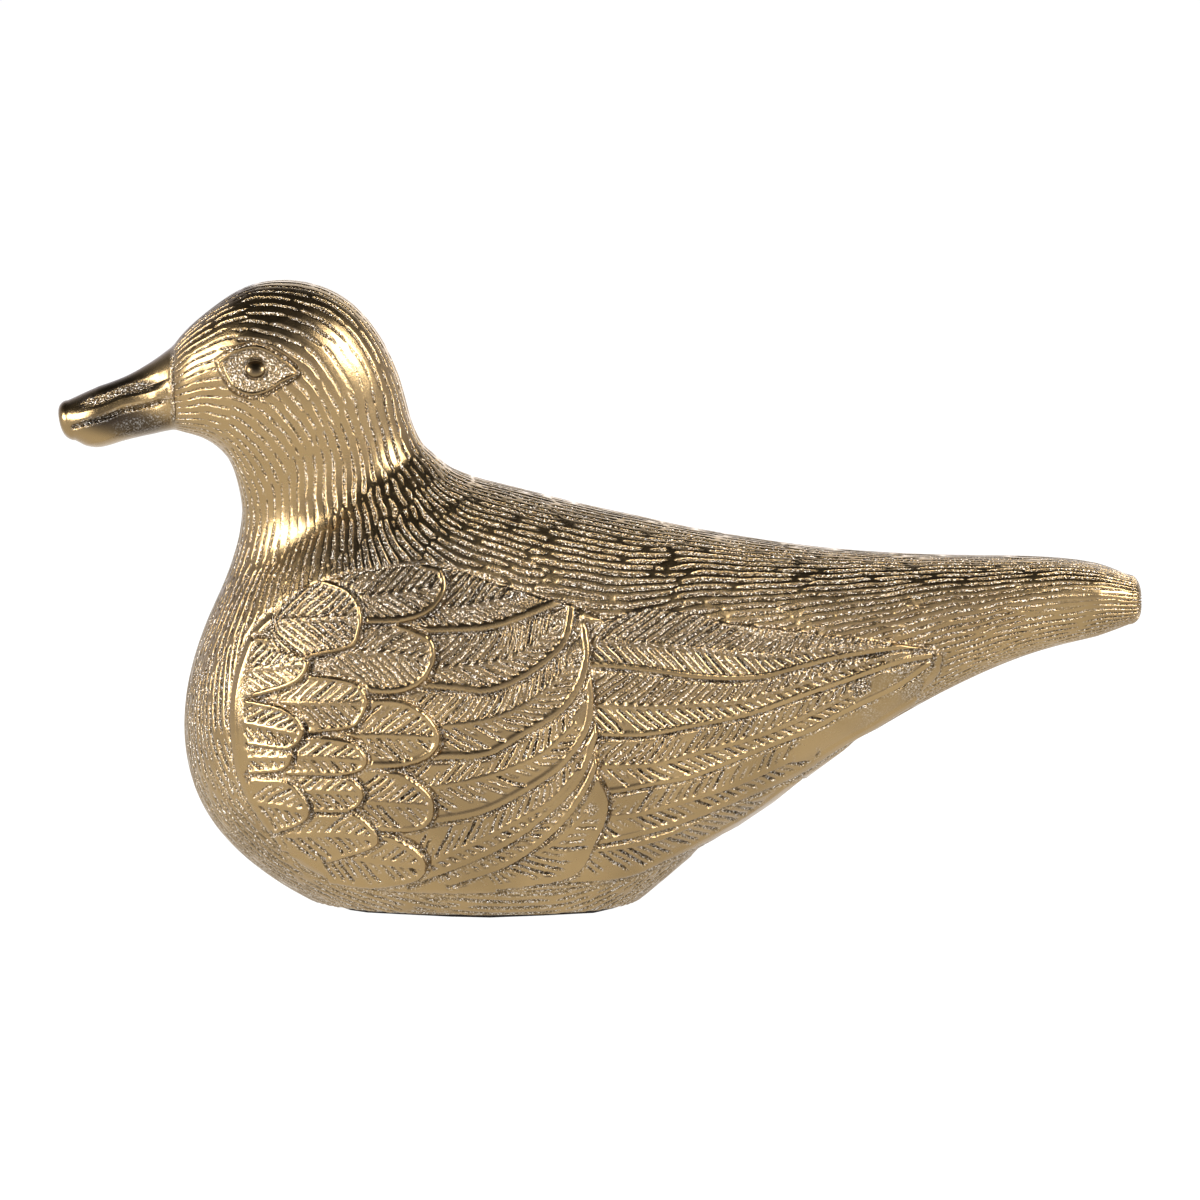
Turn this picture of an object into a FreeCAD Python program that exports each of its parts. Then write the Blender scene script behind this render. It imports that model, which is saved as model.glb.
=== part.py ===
import FreeCAD, Part
import math
import os
from FreeCAD import Placement, Rotation, Vector

# Cast brass duck ornament: two hollow cast halves, the brazed seam that joins them and a felt pad.
# Millimetres, +Z up, the bill towards -X and the left flank towards -Y. The origin is on the table,
# under the middle of the duck's length.

PARTS_FOLDER = "parts"

# Driving dimensions in millimetres, degrees where the name says so. Each is an aliased cell of the sheet.
DIMENSIONS = [
    ("duck_length", 305.0, "bill tip to tail end"),
    ("duck_height", 176.0, "table to crown"),
    ("body_width", 94.0, "across the flanks, under the feathers"),
    ("head_width", 45.0, "across the cheeks"),
    ("tail_width", 24.0, "across the cut-off tail end"),
    ("bill_width", 20.0, "across the bill's broad end"),
    ("bill_root_width", 24.0, "across the bill where it leaves the face"),
    ("edge_bevel", 1.8, "worn bevel round the face, the bill's tip and the tail end"),
    ("wall", 4.0, "the casting's wall"),
    ("flight_relief", 0.7, "how far the flight feathers stand out of the flank"),
    ("flight_root_lift", 0.9, "how far the upper side of a long flight feather stands out of the skin"),
    ("flight_tip_lift", 1.7, "how far its lower edge does"),
    ("long_root_lift", 0.9, "the same for the upper side of a long covert"),
    ("long_tip_lift", 2.1, "and for its lower edge"),
    ("short_root_lift", 0.2, "the same for the root of a short covert"),
    ("short_tip_lift", 2.2, "and for its tip"),
    ("feather_reach", 3.0, "furthest that a flat feather may stand out where the skin curves away"),
    ("lid_relief", 1.0, "how far the almond eyelid stands out of the cheek"),
    ("lid_length", 18.0, "corner to corner of the eyelid"),
    ("lid_height", 9.0, "height of the eyelid"),
    ("pupil_radius", 2.4, "domed pupil"),
    ("well_radius", 3.6, "sunk ring round the pupil"),
    ("well_depth", 1.4, "depth of that ring below the eyelid"),
    ("mouth_width", 1.0, "height of the groove between the mandibles"),
    ("mouth_depth", 0.9, "depth of that groove"),
    ("drain_diameter", 12.0, "drain and vent hole in the sole"),
    ("seam_width", 3.0, "width of the brazed seam"),
    ("seam_depth", 1.8, "depth of the brazed seam"),
    ("pad_thickness", 1.0, "felt pad"),
    ("pad_inset", 1.5, "the pad's edge, in from the edge of the sole"),
    ("overrun", 5.0, "how far a cutting tool runs past what it cuts"),
]

# Sections of the head, neck, body and tail, from the face to the tail end. Each row is the section's
# top point and bottom point as shares of the length (from the bill's tip) and of the height (from the
# table), the width that it follows and its share of that width, and the share of the way down at
# which it is widest. The planes fan round the nape, so the bottom points run down the breast.
BODY_SHARES = [
    (0.108, 0.899, 0.109, 0.762, "head_width", 0.60, 0.50),
    (0.114, 0.912, 0.116, 0.759, "head_width", 0.70, 0.50),
    (0.140, 0.953, 0.136, 0.748, "head_width", 0.86, 0.50),
    (0.177, 0.992, 0.155, 0.722, "head_width", 0.97, 0.50),
    (0.222, 1.000, 0.164, 0.688, "head_width", 1.00, 0.50),
    (0.264, 0.974, 0.168, 0.656, "head_width", 0.99, 0.50),
    (0.300, 0.905, 0.169, 0.627, "head_width", 0.93, 0.50),
    (0.318, 0.830, 0.167, 0.600, "head_width", 0.86, 0.50),
    (0.327, 0.773, 0.163, 0.571, "head_width", 0.86, 0.50),
    (0.335, 0.744, 0.155, 0.530, "body_width", 0.44, 0.50),
    (0.345, 0.725, 0.140, 0.471, "body_width", 0.54, 0.52),
    (0.357, 0.707, 0.123, 0.391, "body_width", 0.68, 0.54),
    (0.370, 0.694, 0.114, 0.278, "body_width", 0.84, 0.56),
    (0.387, 0.683, 0.131, 0.156, "body_width", 0.95, 0.57),
    (0.407, 0.674, 0.186, 0.050, "body_width", 1.00, 0.58),
    (0.444, 0.658, 0.277, -0.032, "body_width", 1.00, 0.58),
    (0.491, 0.638, 0.389, -0.069, "body_width", 0.96, 0.57),
    (0.537, 0.621, 0.491, -0.047, "body_width", 0.88, 0.55),
    (0.593, 0.600, 0.593, 0.083, "body_width", 0.77, 0.52),
    (0.676, 0.577, 0.676, 0.185, "body_width", 0.63, 0.48),
    (0.760, 0.563, 0.760, 0.281, "body_width", 0.51, 0.45),
    (0.843, 0.558, 0.843, 0.360, "body_width", 0.40, 0.42),
    (0.917, 0.555, 0.917, 0.410, "tail_width", 1.32, 0.42),
    (0.968, 0.543, 0.968, 0.432, "tail_width", 1.16, 0.42),
    (1.000, 0.527, 1.000, 0.448, "tail_width", 1.00, 0.45),
]
# The cavity's core follows these rows of the table, from behind the eyes to the root of the tail.
CAVITY_ROWS = [3, 5, 7, 9, 11, 13, 14, 15, 16, 17, 18, 20]
# The rows from here on carry the wing.
FIRST_WING_ROW = 8
# The rows up to here carry the eyes.
LAST_HEAD_ROW = 9

# Sections of the bill, from its root inside the head to its tip, in the same shares.
BILL_SHARES = [
    (0.120, 0.905, 0.124, 0.762, "bill_root_width", 1.02, 0.50),
    (0.105, 0.894, 0.106, 0.762, "bill_root_width", 1.00, 0.50),
    (0.083, 0.867, 0.087, 0.757, "bill_root_width", 0.84, 0.50),
    (0.053, 0.842, 0.060, 0.746, "bill_width", 0.98, 0.50),
    (0.027, 0.826, 0.034, 0.736, "bill_width", 1.00, 0.50),
    (-0.001, 0.808, 0.007, 0.744, "bill_width", 0.80, 0.50),
]

# Side view of the wing, as shares of the length and the height: arcs as start, middle and end.
WING_FRONT_SHARES = [
    ((0.222, 0.493), (0.172, 0.410), (0.159, 0.294)),
    ((0.159, 0.294), (0.168, 0.169), (0.203, 0.088)),
    ((0.203, 0.088), (0.259, 0.037), (0.342, 0.026)),
]
WING_UNDER_SHARES = [
    ((0.342, 0.026), (0.444, 0.030), (0.537, 0.067)),
    ((0.537, 0.067), (0.635, 0.161), (0.695, 0.238)),
    ((0.695, 0.238), (0.760, 0.310), (0.816, 0.402)),
]
WING_OVER_SHARES = [
    ((0.816, 0.412), (0.700, 0.442), (0.583, 0.471)),
    ((0.583, 0.471), (0.530, 0.478), (0.466, 0.485)),
]
WING_TOP_SHARES = [((0.466, 0.485), (0.400, 0.530), (0.353, 0.537))]
WING_SHOULDER_SHARES = [((0.353, 0.537), (0.275, 0.541), (0.222, 0.493))]

# The feathers that lie over the wing, from the side. Each row goes round a feather: the two ends of its
# root or upper side, and then five points of its visible edge, as two arcs that share the third.
SHORT_COVERT_SHARES = [
    ((0.203, 0.418), (0.222, 0.506), (0.250, 0.514), (0.274, 0.490), (0.279, 0.455), (0.270, 0.413), (0.240, 0.400)),
    ((0.177, 0.346), (0.175, 0.410), (0.186, 0.426), (0.220, 0.418), (0.231, 0.387), (0.217, 0.355), (0.186, 0.339)),
    ((0.172, 0.262), (0.168, 0.321), (0.175, 0.328), (0.211, 0.315), (0.226, 0.278), (0.216, 0.257), (0.188, 0.259)),
    ((0.168, 0.220), (0.166, 0.252), (0.175, 0.259), (0.208, 0.257), (0.216, 0.238), (0.206, 0.219), (0.177, 0.215)),
    ((0.192, 0.133), (0.173, 0.198), (0.177, 0.206), (0.212, 0.199), (0.232, 0.153), (0.222, 0.133), (0.201, 0.122)),
    ((0.208, 0.294), (0.208, 0.354), (0.231, 0.370), (0.270, 0.360), (0.285, 0.325), (0.272, 0.288), (0.229, 0.278)),
    ((0.203, 0.220), (0.203, 0.262), (0.225, 0.272), (0.268, 0.264), (0.284, 0.233), (0.271, 0.214), (0.217, 0.212)),
    ((0.212, 0.165), (0.208, 0.204), (0.231, 0.215), (0.268, 0.207), (0.281, 0.177), (0.268, 0.156), (0.233, 0.153)),
    ((0.222, 0.091), (0.212, 0.145), (0.238, 0.156), (0.276, 0.149), (0.295, 0.114), (0.287, 0.095), (0.259, 0.079)),
    ((0.268, 0.471), (0.268, 0.530), (0.314, 0.543), (0.348, 0.540), (0.357, 0.508), (0.340, 0.469), (0.296, 0.455)),
    ((0.266, 0.362), (0.263, 0.442), (0.314, 0.455), (0.342, 0.429), (0.346, 0.394), (0.328, 0.350), (0.287, 0.342)),
    ((0.259, 0.249), (0.259, 0.317), (0.281, 0.329), (0.328, 0.320), (0.352, 0.268), (0.333, 0.233), (0.288, 0.222)),
    ((0.263, 0.145), (0.263, 0.209), (0.285, 0.223), (0.327, 0.204), (0.346, 0.156), (0.328, 0.125), (0.292, 0.124)),
    ((0.263, 0.053), (0.259, 0.108), (0.288, 0.122), (0.324, 0.101), (0.340, 0.069), (0.324, 0.042), (0.288, 0.034)),
]
LONG_COVERT_SHARES = [
    ((0.444, 0.503), (0.342, 0.490), (0.342, 0.436), (0.375, 0.436), (0.407, 0.445), (0.437, 0.461), (0.466, 0.484)),
    ((0.463, 0.481), (0.338, 0.426), (0.338, 0.349), (0.379, 0.341), (0.424, 0.358), (0.459, 0.402), (0.476, 0.477)),
    ((0.476, 0.455), (0.338, 0.329), (0.338, 0.233), (0.389, 0.238), (0.440, 0.281), (0.477, 0.339), (0.489, 0.439)),
    ((0.481, 0.362), (0.338, 0.217), (0.328, 0.130), (0.389, 0.145), (0.444, 0.196), (0.483, 0.268), (0.493, 0.355)),
    ((0.486, 0.281), (0.333, 0.120), (0.333, 0.042), (0.389, 0.075), (0.440, 0.130), (0.481, 0.201), (0.496, 0.268)),
    ((0.486, 0.209), (0.352, 0.053), (0.407, 0.027), (0.463, 0.046), (0.494, 0.101), (0.506, 0.149), (0.499, 0.204)),
]
FLIGHT_SHARES = [
    ((0.778, 0.418), (0.500, 0.455), (0.491, 0.383), (0.565, 0.368), (0.646, 0.362), (0.718, 0.391), (0.806, 0.411)),
    ((0.778, 0.416), (0.491, 0.374), (0.491, 0.270), (0.565, 0.276), (0.639, 0.304), (0.723, 0.355), (0.806, 0.400)),
    ((0.778, 0.410), (0.491, 0.265), (0.500, 0.178), (0.574, 0.199), (0.648, 0.249), (0.732, 0.313), (0.806, 0.389)),
    ((0.778, 0.394), (0.491, 0.169), (0.500, 0.100), (0.574, 0.132), (0.648, 0.186), (0.723, 0.257), (0.792, 0.328)),
    ((0.713, 0.329), (0.491, 0.088), (0.463, 0.037), (0.537, 0.051), (0.611, 0.117), (0.667, 0.177), (0.732, 0.257)),
]
# The outlines are read along a line of sight that falls a little, so what stands out of the middle
# plane is higher than it looks.
SIGHT_SLOPE_SHARE = 0.14
EYE_SHARES = (0.187, 0.863)
EYE_TILT_SHARE = -0.07
PUPIL_FORWARD_SHARE = 0.05
PUPIL_SUNK_SHARE = 0.35
MOUTH_SHARES = ((0.004, 0.768), (0.050, 0.788), (0.098, 0.812))
DRAIN_SHARE = 0.390

SECTION_SIDES = 24
CAVITY_SIDES = 12
FULLNESS = 2.15

doc = FreeCAD.newDocument("duck")
sheet = doc.addObject("Spreadsheet::Sheet", "sizes")
for line, (alias, value, note) in enumerate(DIMENSIONS, start=1):
    sheet.set(f"A{line}", note)
    sheet.set(f"B{line}", str(value))
    sheet.setAlias(f"B{line}", alias)
doc.recompute()


def size(alias):
    """A driving dimension, read from the sheet."""
    return float(sheet.get(alias))


def at(shares):
    """The point of the side view at these shares of the length and the height."""
    return Vector((shares[0] - 0.5) * size("duck_length"), 0, shares[1] * size("duck_height"))


def ring(row, grow, sides, shift=Vector()):
    """One section as a polygon whose flats touch the oval, grown all round by grow and moved by shift."""
    top = at(row[0:2])
    bottom = at(row[2:4])
    depth = (bottom - top).Length
    down = (bottom - top).normalize()
    middle = top + down * (row[6] * depth) + shift
    above = row[6] * depth + grow
    below = (1 - row[6]) * depth + grow
    half_width = row[5] * size(row[4]) / 2 + grow
    stretch = 1 / math.cos(math.pi / sides)
    corners = []
    for corner in range(sides):
        angle = 2 * math.pi * (corner + 0.5) / sides
        rise = min(1, abs(math.cos(angle)) * stretch) ** (2 / FULLNESS)
        spread = min(1, abs(math.sin(angle)) * stretch) ** (2 / FULLNESS)
        fall = -rise * above if math.cos(angle) > 0 else rise * below
        side = -math.copysign(spread, math.sin(angle)) * half_width
        corners.append(middle + down * fall + Vector(0, side, 0))
    return Part.makePolygon(corners + corners[:1])


def outward(end_row, next_row):
    """Unit vector along the spine, out through an end section."""
    return (at(end_row[0:2]) + at(end_row[2:4]) - at(next_row[0:2]) - at(next_row[2:4])).normalize()


def end_rings(end_row, next_row, grow):
    """The two rings of a bevelled end: where the bevel starts, and the flat that it leaves."""
    bevel = size("edge_bevel")
    out = outward(end_row, next_row)
    start = ring(end_row, grow, SECTION_SIDES, out * (grow - bevel))
    flat = ring(end_row, grow - bevel, SECTION_SIDES, out * grow)
    return start, flat


def skin(rows, grow, bevelled_root=True):
    """The solid inside the rows' smooth surface, grown by grow, with its ends bevelled."""
    rings = [ring(row, grow, SECTION_SIDES) for row in rows]
    rings[-1], tip_flat = end_rings(rows[-1], rows[-2], grow)
    ends = [Part.makeLoft([rings[-1], tip_flat], True, True)]
    if bevelled_root:
        rings[0], root_flat = end_rings(rows[0], rows[1], grow)
        ends.append(Part.makeLoft([root_flat, rings[0]], True, True))
    return Part.makeLoft(rings, True, True).multiFuse(ends)


def inner_core(rows, depth, sides):
    """The faceted block that lies deeper than depth under the rows' skin, its ends drawn in by as much."""
    shifts = [Vector() for row in rows]
    shifts[0] = outward(rows[0], rows[1]) * -depth
    shifts[-1] = outward(rows[-1], rows[-2]) * -depth
    rings = [ring(row, -depth, sides, shift) for row, shift in zip(rows, shifts)]
    corners = [[vertex.Point for vertex in made.OrderedVertexes][:sides] for made in rings]
    faces = [Part.Face(rings[0]), Part.Face(rings[-1])]
    for here, beyond in zip(corners, corners[1:]):
        for side in range(sides):
            near, far = here[side - 1], here[side]
            faces.append(Part.Face(Part.makePolygon([near, far, beyond[side - 1], near])))
            faces.append(Part.Face(Part.makePolygon([far, beyond[side], beyond[side - 1], far])))
    block = Part.Solid(Part.Shell(faces))
    if block.Volume < 0:
        block.reverse()
    return block


def surface_at(point, solid):
    """The point of the solid's left surface straight out from a point of the side view."""
    line = Part.makeLine(point, point - Vector(0, size("body_width"), 0))
    return Vector(point.x, line.common(solid).BoundBox.YMin, point.z)


def seen_at(shares):
    """The point of the left flank that is seen at these shares."""
    flat = at(shares)
    stand_out = -surface_at(flat, flank_gauge).y
    return surface_at(flat + Vector(0, 0, stand_out * SIGHT_SLOPE_SHARE), flank_gauge)


def outline_prism(points_of_arcs):
    """The outline through the arcs, straight from one to the next, as a prism out of the left flank."""
    edges = []
    for here, following in zip(points_of_arcs, points_of_arcs[1:] + points_of_arcs[:1]):
        edges.append(Part.Arc(*here).toShape())
        if here[2] != following[0]:
            edges.append(Part.makeLine(here[2], following[0]))
    face = Part.Face(Part.Wire(edges))
    face.translate(Vector(0, -size("seam_width"), 0))
    return face.extrude(Vector(0, -size("body_width"), 0))


def flattened(point):
    """The point moved into the middle plane."""
    return Vector(point.x, 0, point.z)


def feather(shares, root_lift, tip_lift):
    """A feather as a flat-topped scale: its root lies low and its visible edge stands out of the skin."""
    middle_of_root = [(first + second) / 2 for first, second in zip(shares[0], shares[1])]
    root = seen_at(middle_of_root) - Vector(0, root_lift, 0)
    upper = seen_at(shares[3]) - Vector(0, tip_lift, 0)
    lower = seen_at(shares[5]) - Vector(0, tip_lift, 0)
    raised = Vector(0, 0, upper.z - at(shares[3]).z)
    corners = [at(point) + raised for point in shares]
    edges = [
        Part.Arc(*corners[2:5]).toShape(),
        Part.Arc(*corners[4:7]).toShape(),
        Part.makeLine(corners[6], corners[0]),
        Part.makeLine(corners[0], corners[1]),
        Part.makeLine(corners[1], corners[2]),
    ]
    face = Part.Face(Part.Wire(edges))
    face.translate(Vector(0, -size("seam_width"), 0))
    prism = face.extrude(Vector(0, -size("body_width"), 0))
    normal = (upper - root).cross(lower - root)
    if normal.y > 0:
        normal = -normal
    reach = size("duck_length")
    above = Part.makeBox(2 * reach, 2 * reach, reach, Vector(-reach, -reach, 0))
    above.Placement = Placement(root, Rotation(Vector(0, 0, 1), normal))
    return prism.cut(above).common(feather_room)


def shape_piece(name, shape):
    """An object of the document that holds a shape worked out here."""
    made = doc.addObject("Part::Feature", name)
    made.Shape = shape
    made.Placement = Placement(Vector(), Rotation())
    return made


def bound(kind, name, sizes):
    """A primitive of the document with its sizes bound to the sheet."""
    made = doc.addObject(kind, name)
    for prop, formula in sizes.items():
        made.setExpression(prop, formula)
    return made


def joined(name, members):
    made = doc.addObject("Part::MultiFuse", name)
    made.Shapes = members
    return made


def cut(name, base, tool):
    made = doc.addObject("Part::Cut", name)
    made.Base = base
    made.Tool = tool
    return made


def shared(name, base, tool):
    made = doc.addObject("Part::Common", name)
    made.Base = base
    made.Tool = tool
    return made


def mouth_groove():
    """The strip along the mouth line, sunk into both sides of the bill as deep as the groove."""
    half_height = Vector(0, 0, size("mouth_width") / 2)
    front, middle, back = [at(shares) for shares in MOUTH_SHARES]
    edges = [
        Part.Arc(front + half_height, middle + half_height, back + half_height).toShape(),
        Part.makeLine(back + half_height, back - half_height),
        Part.Arc(back - half_height, middle - half_height, front - half_height).toShape(),
        Part.makeLine(front - half_height, front + half_height),
    ]
    face = Part.Face(Part.Wire(edges))
    face.translate(Vector(0, -size("bill_root_width"), 0))
    strip = face.extrude(Vector(0, 2 * size("bill_root_width"), 0))
    return strip.cut(skin(BILL_SHARES, -size("mouth_depth"), bevelled_root=False))


def eyelid():
    """The almond lid that stands out of the cheek, from corner to corner."""
    middle = at(EYE_SHARES)
    half_length = Vector(size("lid_length") / 2, 0, -EYE_TILT_SHARE * size("lid_length"))
    half_height = Vector(0, 0, size("lid_height") / 2)
    upper = Part.Arc(middle - half_length, middle + half_height, middle + half_length).toShape()
    lower = Part.Arc(middle + half_length, middle - half_height, middle - half_length).toShape()
    almond = Part.Face(Part.Wire([upper, lower]))
    almond.translate(Vector(0, -size("seam_width"), 0))
    prism = almond.extrude(Vector(0, -size("head_width"), 0))
    rings = [ring(row, size("lid_relief"), SECTION_SIDES) for row in BODY_SHARES[:LAST_HEAD_ROW]]
    return prism.common(Part.makeLoft(rings, True, True))


def wing_skin(grow):
    """The body's skin from the nape to the tail, grown by grow."""
    rings = [ring(row, grow, SECTION_SIDES) for row in BODY_SHARES[FIRST_WING_ROW:]]
    return Part.makeLoft(rings, True, True)


def wing_plate():
    """The whole wing as a low plate that follows the skin, a little proud of it."""
    arcs = WING_FRONT_SHARES + WING_UNDER_SHARES + WING_OVER_SHARES + WING_TOP_SHARES + WING_SHOULDER_SHARES
    corners = [[flattened(seen_at(shares)) for shares in arc] for arc in arcs]
    return outline_prism(corners).common(wing_skin(size("flight_relief")))


# Below the sole, the left side of the duck, and the slab that the brazed seam lies in.
below = {}
for name, top in (
    ("sole", "sizes.pad_thickness"),
    ("floor", "sizes.pad_thickness + sizes.wall"),
    ("braze", "sizes.pad_thickness + sizes.seam_depth"),
):
    below[name] = bound("Part::Box", f"below_{name}", {
        "Length": "sizes.duck_length + 2 * sizes.overrun",
        "Width": "2 * sizes.body_width",
        "Height": "sizes.duck_height",
        "Placement.Base.x": "-sizes.duck_length / 2 - sizes.overrun",
        "Placement.Base.y": "-sizes.body_width",
        "Placement.Base.z": f"{top} - sizes.duck_height",
    })
left_side = bound("Part::Box", "left_side", {
    "Length": "sizes.duck_length + 2 * sizes.overrun",
    "Width": "sizes.body_width",
    "Height": "sizes.duck_height + sizes.overrun",
    "Placement.Base.x": "-sizes.duck_length / 2 - sizes.overrun",
    "Placement.Base.y": "-sizes.body_width",
})
seam_slab = bound("Part::Box", "seam_slab", {
    "Length": "sizes.duck_length + 2 * sizes.overrun",
    "Width": "sizes.seam_width",
    "Height": "sizes.duck_height + sizes.overrun",
    "Placement.Base.x": "-sizes.duck_length / 2 - sizes.overrun",
    "Placement.Base.y": "-sizes.seam_width / 2",
})
drain = bound("Part::Cylinder", "drain", {
    "Radius": "sizes.drain_diameter / 2",
    "Height": "sizes.wall + 2 * sizes.overrun",
    "Placement.Base.z": "sizes.pad_thickness - sizes.overrun",
})
drain.Placement.Base.x = at((DRAIN_SHARE, 0)).x

# The same skin with flat facets, from which the places of the feathers are measured.
flank_gauge = inner_core(BODY_SHARES, 0, SECTION_SIDES)

# No feather reaches further out of the skin than this, also where the skin turns away under it.
feather_room = wing_skin(size("feather_reach"))

# The plain duck: head, neck, body and tail in one skin, and the bill that stands out of its face.
body_skin = shape_piece("body_skin", skin(BODY_SHARES, 0))
bill_skin = shape_piece("bill_skin", skin(BILL_SHARES, 0, bevelled_root=False))
whole_skin = joined("whole_skin", [body_skin, bill_skin])
standing = cut("standing", whole_skin, below["sole"])
mouth = shape_piece("mouth", mouth_groove())
plain = cut("plain", standing, mouth)

# The wing: a low plate, the long feathers on it, and the short coverts over their roots. Each feather
# is a flat scale that stands out of the flank at its visible edge.
plate = shape_piece("wing_plate", wing_plate())
feathers = []
for kind, table, root_lift, tip_lift in (
    ("flight_feather", FLIGHT_SHARES, size("flight_root_lift"), size("flight_tip_lift")),
    ("long_covert", LONG_COVERT_SHARES, size("long_root_lift"), size("long_tip_lift")),
    ("short_covert", SHORT_COVERT_SHARES, size("short_root_lift"), size("short_tip_lift")),
):
    for number, shares in enumerate(table, start=1):
        feathers.append(shape_piece(f"{kind}_{number}", feather(shares, root_lift, tip_lift)))

# The eye: an almond lid, a ring sunk into it and the domed pupil in the ring.
lid = shape_piece("eyelid", eyelid())
pupil_place = at(EYE_SHARES) - Vector(PUPIL_FORWARD_SHARE * size("lid_length"), 0, 0)
cheek = surface_at(pupil_place, body_skin.Shape)
well = bound("Part::Cylinder", "eye_well", {
    "Radius": "sizes.well_radius",
    "Height": "sizes.head_width",
})
well_floor = cheek + Vector(0, size("well_depth") - size("lid_relief"), 0)
well.Placement = Placement(well_floor, Rotation(Vector(1, 0, 0), 90))
pupil = bound("Part::Sphere", "pupil", {"Radius": "sizes.pupil_radius"})
pupil.Placement = Placement(well_floor + Vector(0, -PUPIL_SUNK_SHARE * size("pupil_radius"), 0), Rotation())

# The left half of the casting: skin, wing and eye, hollowed and drained, up to the brazed seam.
left_plain = shared("left_plain", plain, left_side)
feathered = joined("feathered", [left_plain, plate, lid] + feathers)
eye_sunk = cut("eye_sunk", feathered, well)
carved = joined("carved", [eye_sunk, pupil])
core = shape_piece("core", inner_core([BODY_SHARES[row] for row in CAVITY_ROWS], size("wall"), CAVITY_SIDES))
cavity = cut("cavity", core, below["floor"])
seam_slice = shared("seam_slice", plain, seam_slab)
body_core = shape_piece("body_core", inner_core(BODY_SHARES, size("seam_depth"), SECTION_SIDES))
bill_core = shape_piece("bill_core", inner_core(BILL_SHARES, size("seam_depth"), SECTION_SIDES))
braze_core = joined("braze_core", [body_core, bill_core])
braze_reach = cut("braze_reach", braze_core, below["braze"])
braze_ring = cut("braze_ring", seam_slice, braze_reach)
brazed_seam = cut("brazed_seam", braze_ring, drain)
emptied = joined("emptied", [cavity, drain, braze_ring])
left_casting = cut("left_casting", carved, emptied)
right_casting = doc.addObject("Part::Mirroring", "right_casting")
right_casting.Source = left_casting
right_casting.Normal = Vector(0, 1, 0)


def pad_shape():
    """The felt under the sole, in from the sole's edge."""
    outline = wing_skin(-size("pad_inset")).slice(Vector(0, 0, 1), size("pad_thickness"))[0]
    return Part.Face(outline).extrude(Vector(0, 0, -size("pad_thickness")))


felt_pad = shape_piece("felt_pad", pad_shape())

doc.recompute()
PIECES = [left_casting, right_casting, brazed_seam, felt_pad]
for piece in PIECES:
    piece.Label = piece.Name
for made in doc.Objects:
    if "Invalid" in made.State or "Error" in made.State:
        raise RuntimeError(f"{made.Name} did not compute: {made.State}")
for piece in PIECES:
    if piece.Shape.isNull() or not piece.Shape.isValid() or len(piece.Shape.Solids) != 1:
        raise RuntimeError(f"{piece.Label} is not one valid solid")

os.makedirs(PARTS_FOLDER, exist_ok=True)
for piece in PIECES:
    piece.Shape.exportStep(os.path.join(PARTS_FOLDER, f"{piece.Label}.step"))
    box = piece.Shape.BoundBox
    print(f"{piece.Label}: {piece.Shape.Volume / 1000:.1f} cc, {box.XLength:.1f} x {box.YLength:.1f} x {box.ZLength:.1f} mm")
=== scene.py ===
# %% [markdown]
# # A cast brass duck
# The real thing is a hollow brass figure, cast in two halves, brazed together, and then carved by hand:
# rows of feathers on the wings and short strokes everywhere else. It stands on a thin felt pad.
# This lesson dresses the CAD solids with that skin. Everything is planned in millimetres and turned
# into metres only when a mesh is made.

# %% Open the frame
import math

import bpy
import numpy as np
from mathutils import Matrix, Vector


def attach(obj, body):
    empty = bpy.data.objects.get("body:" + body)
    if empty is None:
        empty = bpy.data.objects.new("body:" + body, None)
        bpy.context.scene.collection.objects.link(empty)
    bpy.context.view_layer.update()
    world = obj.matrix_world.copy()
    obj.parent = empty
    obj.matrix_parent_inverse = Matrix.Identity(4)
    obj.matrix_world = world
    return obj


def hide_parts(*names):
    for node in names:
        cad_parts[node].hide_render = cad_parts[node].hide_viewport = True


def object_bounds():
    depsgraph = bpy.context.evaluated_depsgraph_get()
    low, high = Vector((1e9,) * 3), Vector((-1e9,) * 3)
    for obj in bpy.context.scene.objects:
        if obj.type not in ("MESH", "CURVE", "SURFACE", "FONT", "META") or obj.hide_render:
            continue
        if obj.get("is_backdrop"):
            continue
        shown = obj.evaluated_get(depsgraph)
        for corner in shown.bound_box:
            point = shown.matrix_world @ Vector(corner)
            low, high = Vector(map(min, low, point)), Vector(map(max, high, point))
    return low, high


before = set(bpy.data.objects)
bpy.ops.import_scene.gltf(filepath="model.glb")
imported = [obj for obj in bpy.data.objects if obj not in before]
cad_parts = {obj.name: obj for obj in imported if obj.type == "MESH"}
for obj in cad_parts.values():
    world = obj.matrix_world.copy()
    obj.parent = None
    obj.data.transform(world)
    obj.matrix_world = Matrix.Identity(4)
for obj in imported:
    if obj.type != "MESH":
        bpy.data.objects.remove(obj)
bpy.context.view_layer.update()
scene = bpy.context.scene
METRES = 0.001

# %% [markdown]
# ## The camera
# The photograph looks straight at the left flank from a little above. A long lens a metre and a half
# away gives its flat perspective. The camera could be aimed by a constraint, but plain numbers also tell
# where a point of the skin falls in the photograph, so that each feather can be carved where it is seen.

# %% Camera
PHOTO_WIDTH = 1200
# Millimetres across one pixel of the photograph, at the middle of the duck.
PHOTO_SCALE = 0.2830
CAMERA_DISTANCE = 1500.0
CAMERA_ELEVATION = math.radians(8)
AIM = np.array([0.1, 0.0, 85.6])
SENSOR = 36.0

ahead = np.array([0.0, math.cos(CAMERA_ELEVATION), -math.sin(CAMERA_ELEVATION)])
upward = np.array([0.0, math.sin(CAMERA_ELEVATION), math.cos(CAMERA_ELEVATION)])
camera_place = AIM - ahead * CAMERA_DISTANCE

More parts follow.
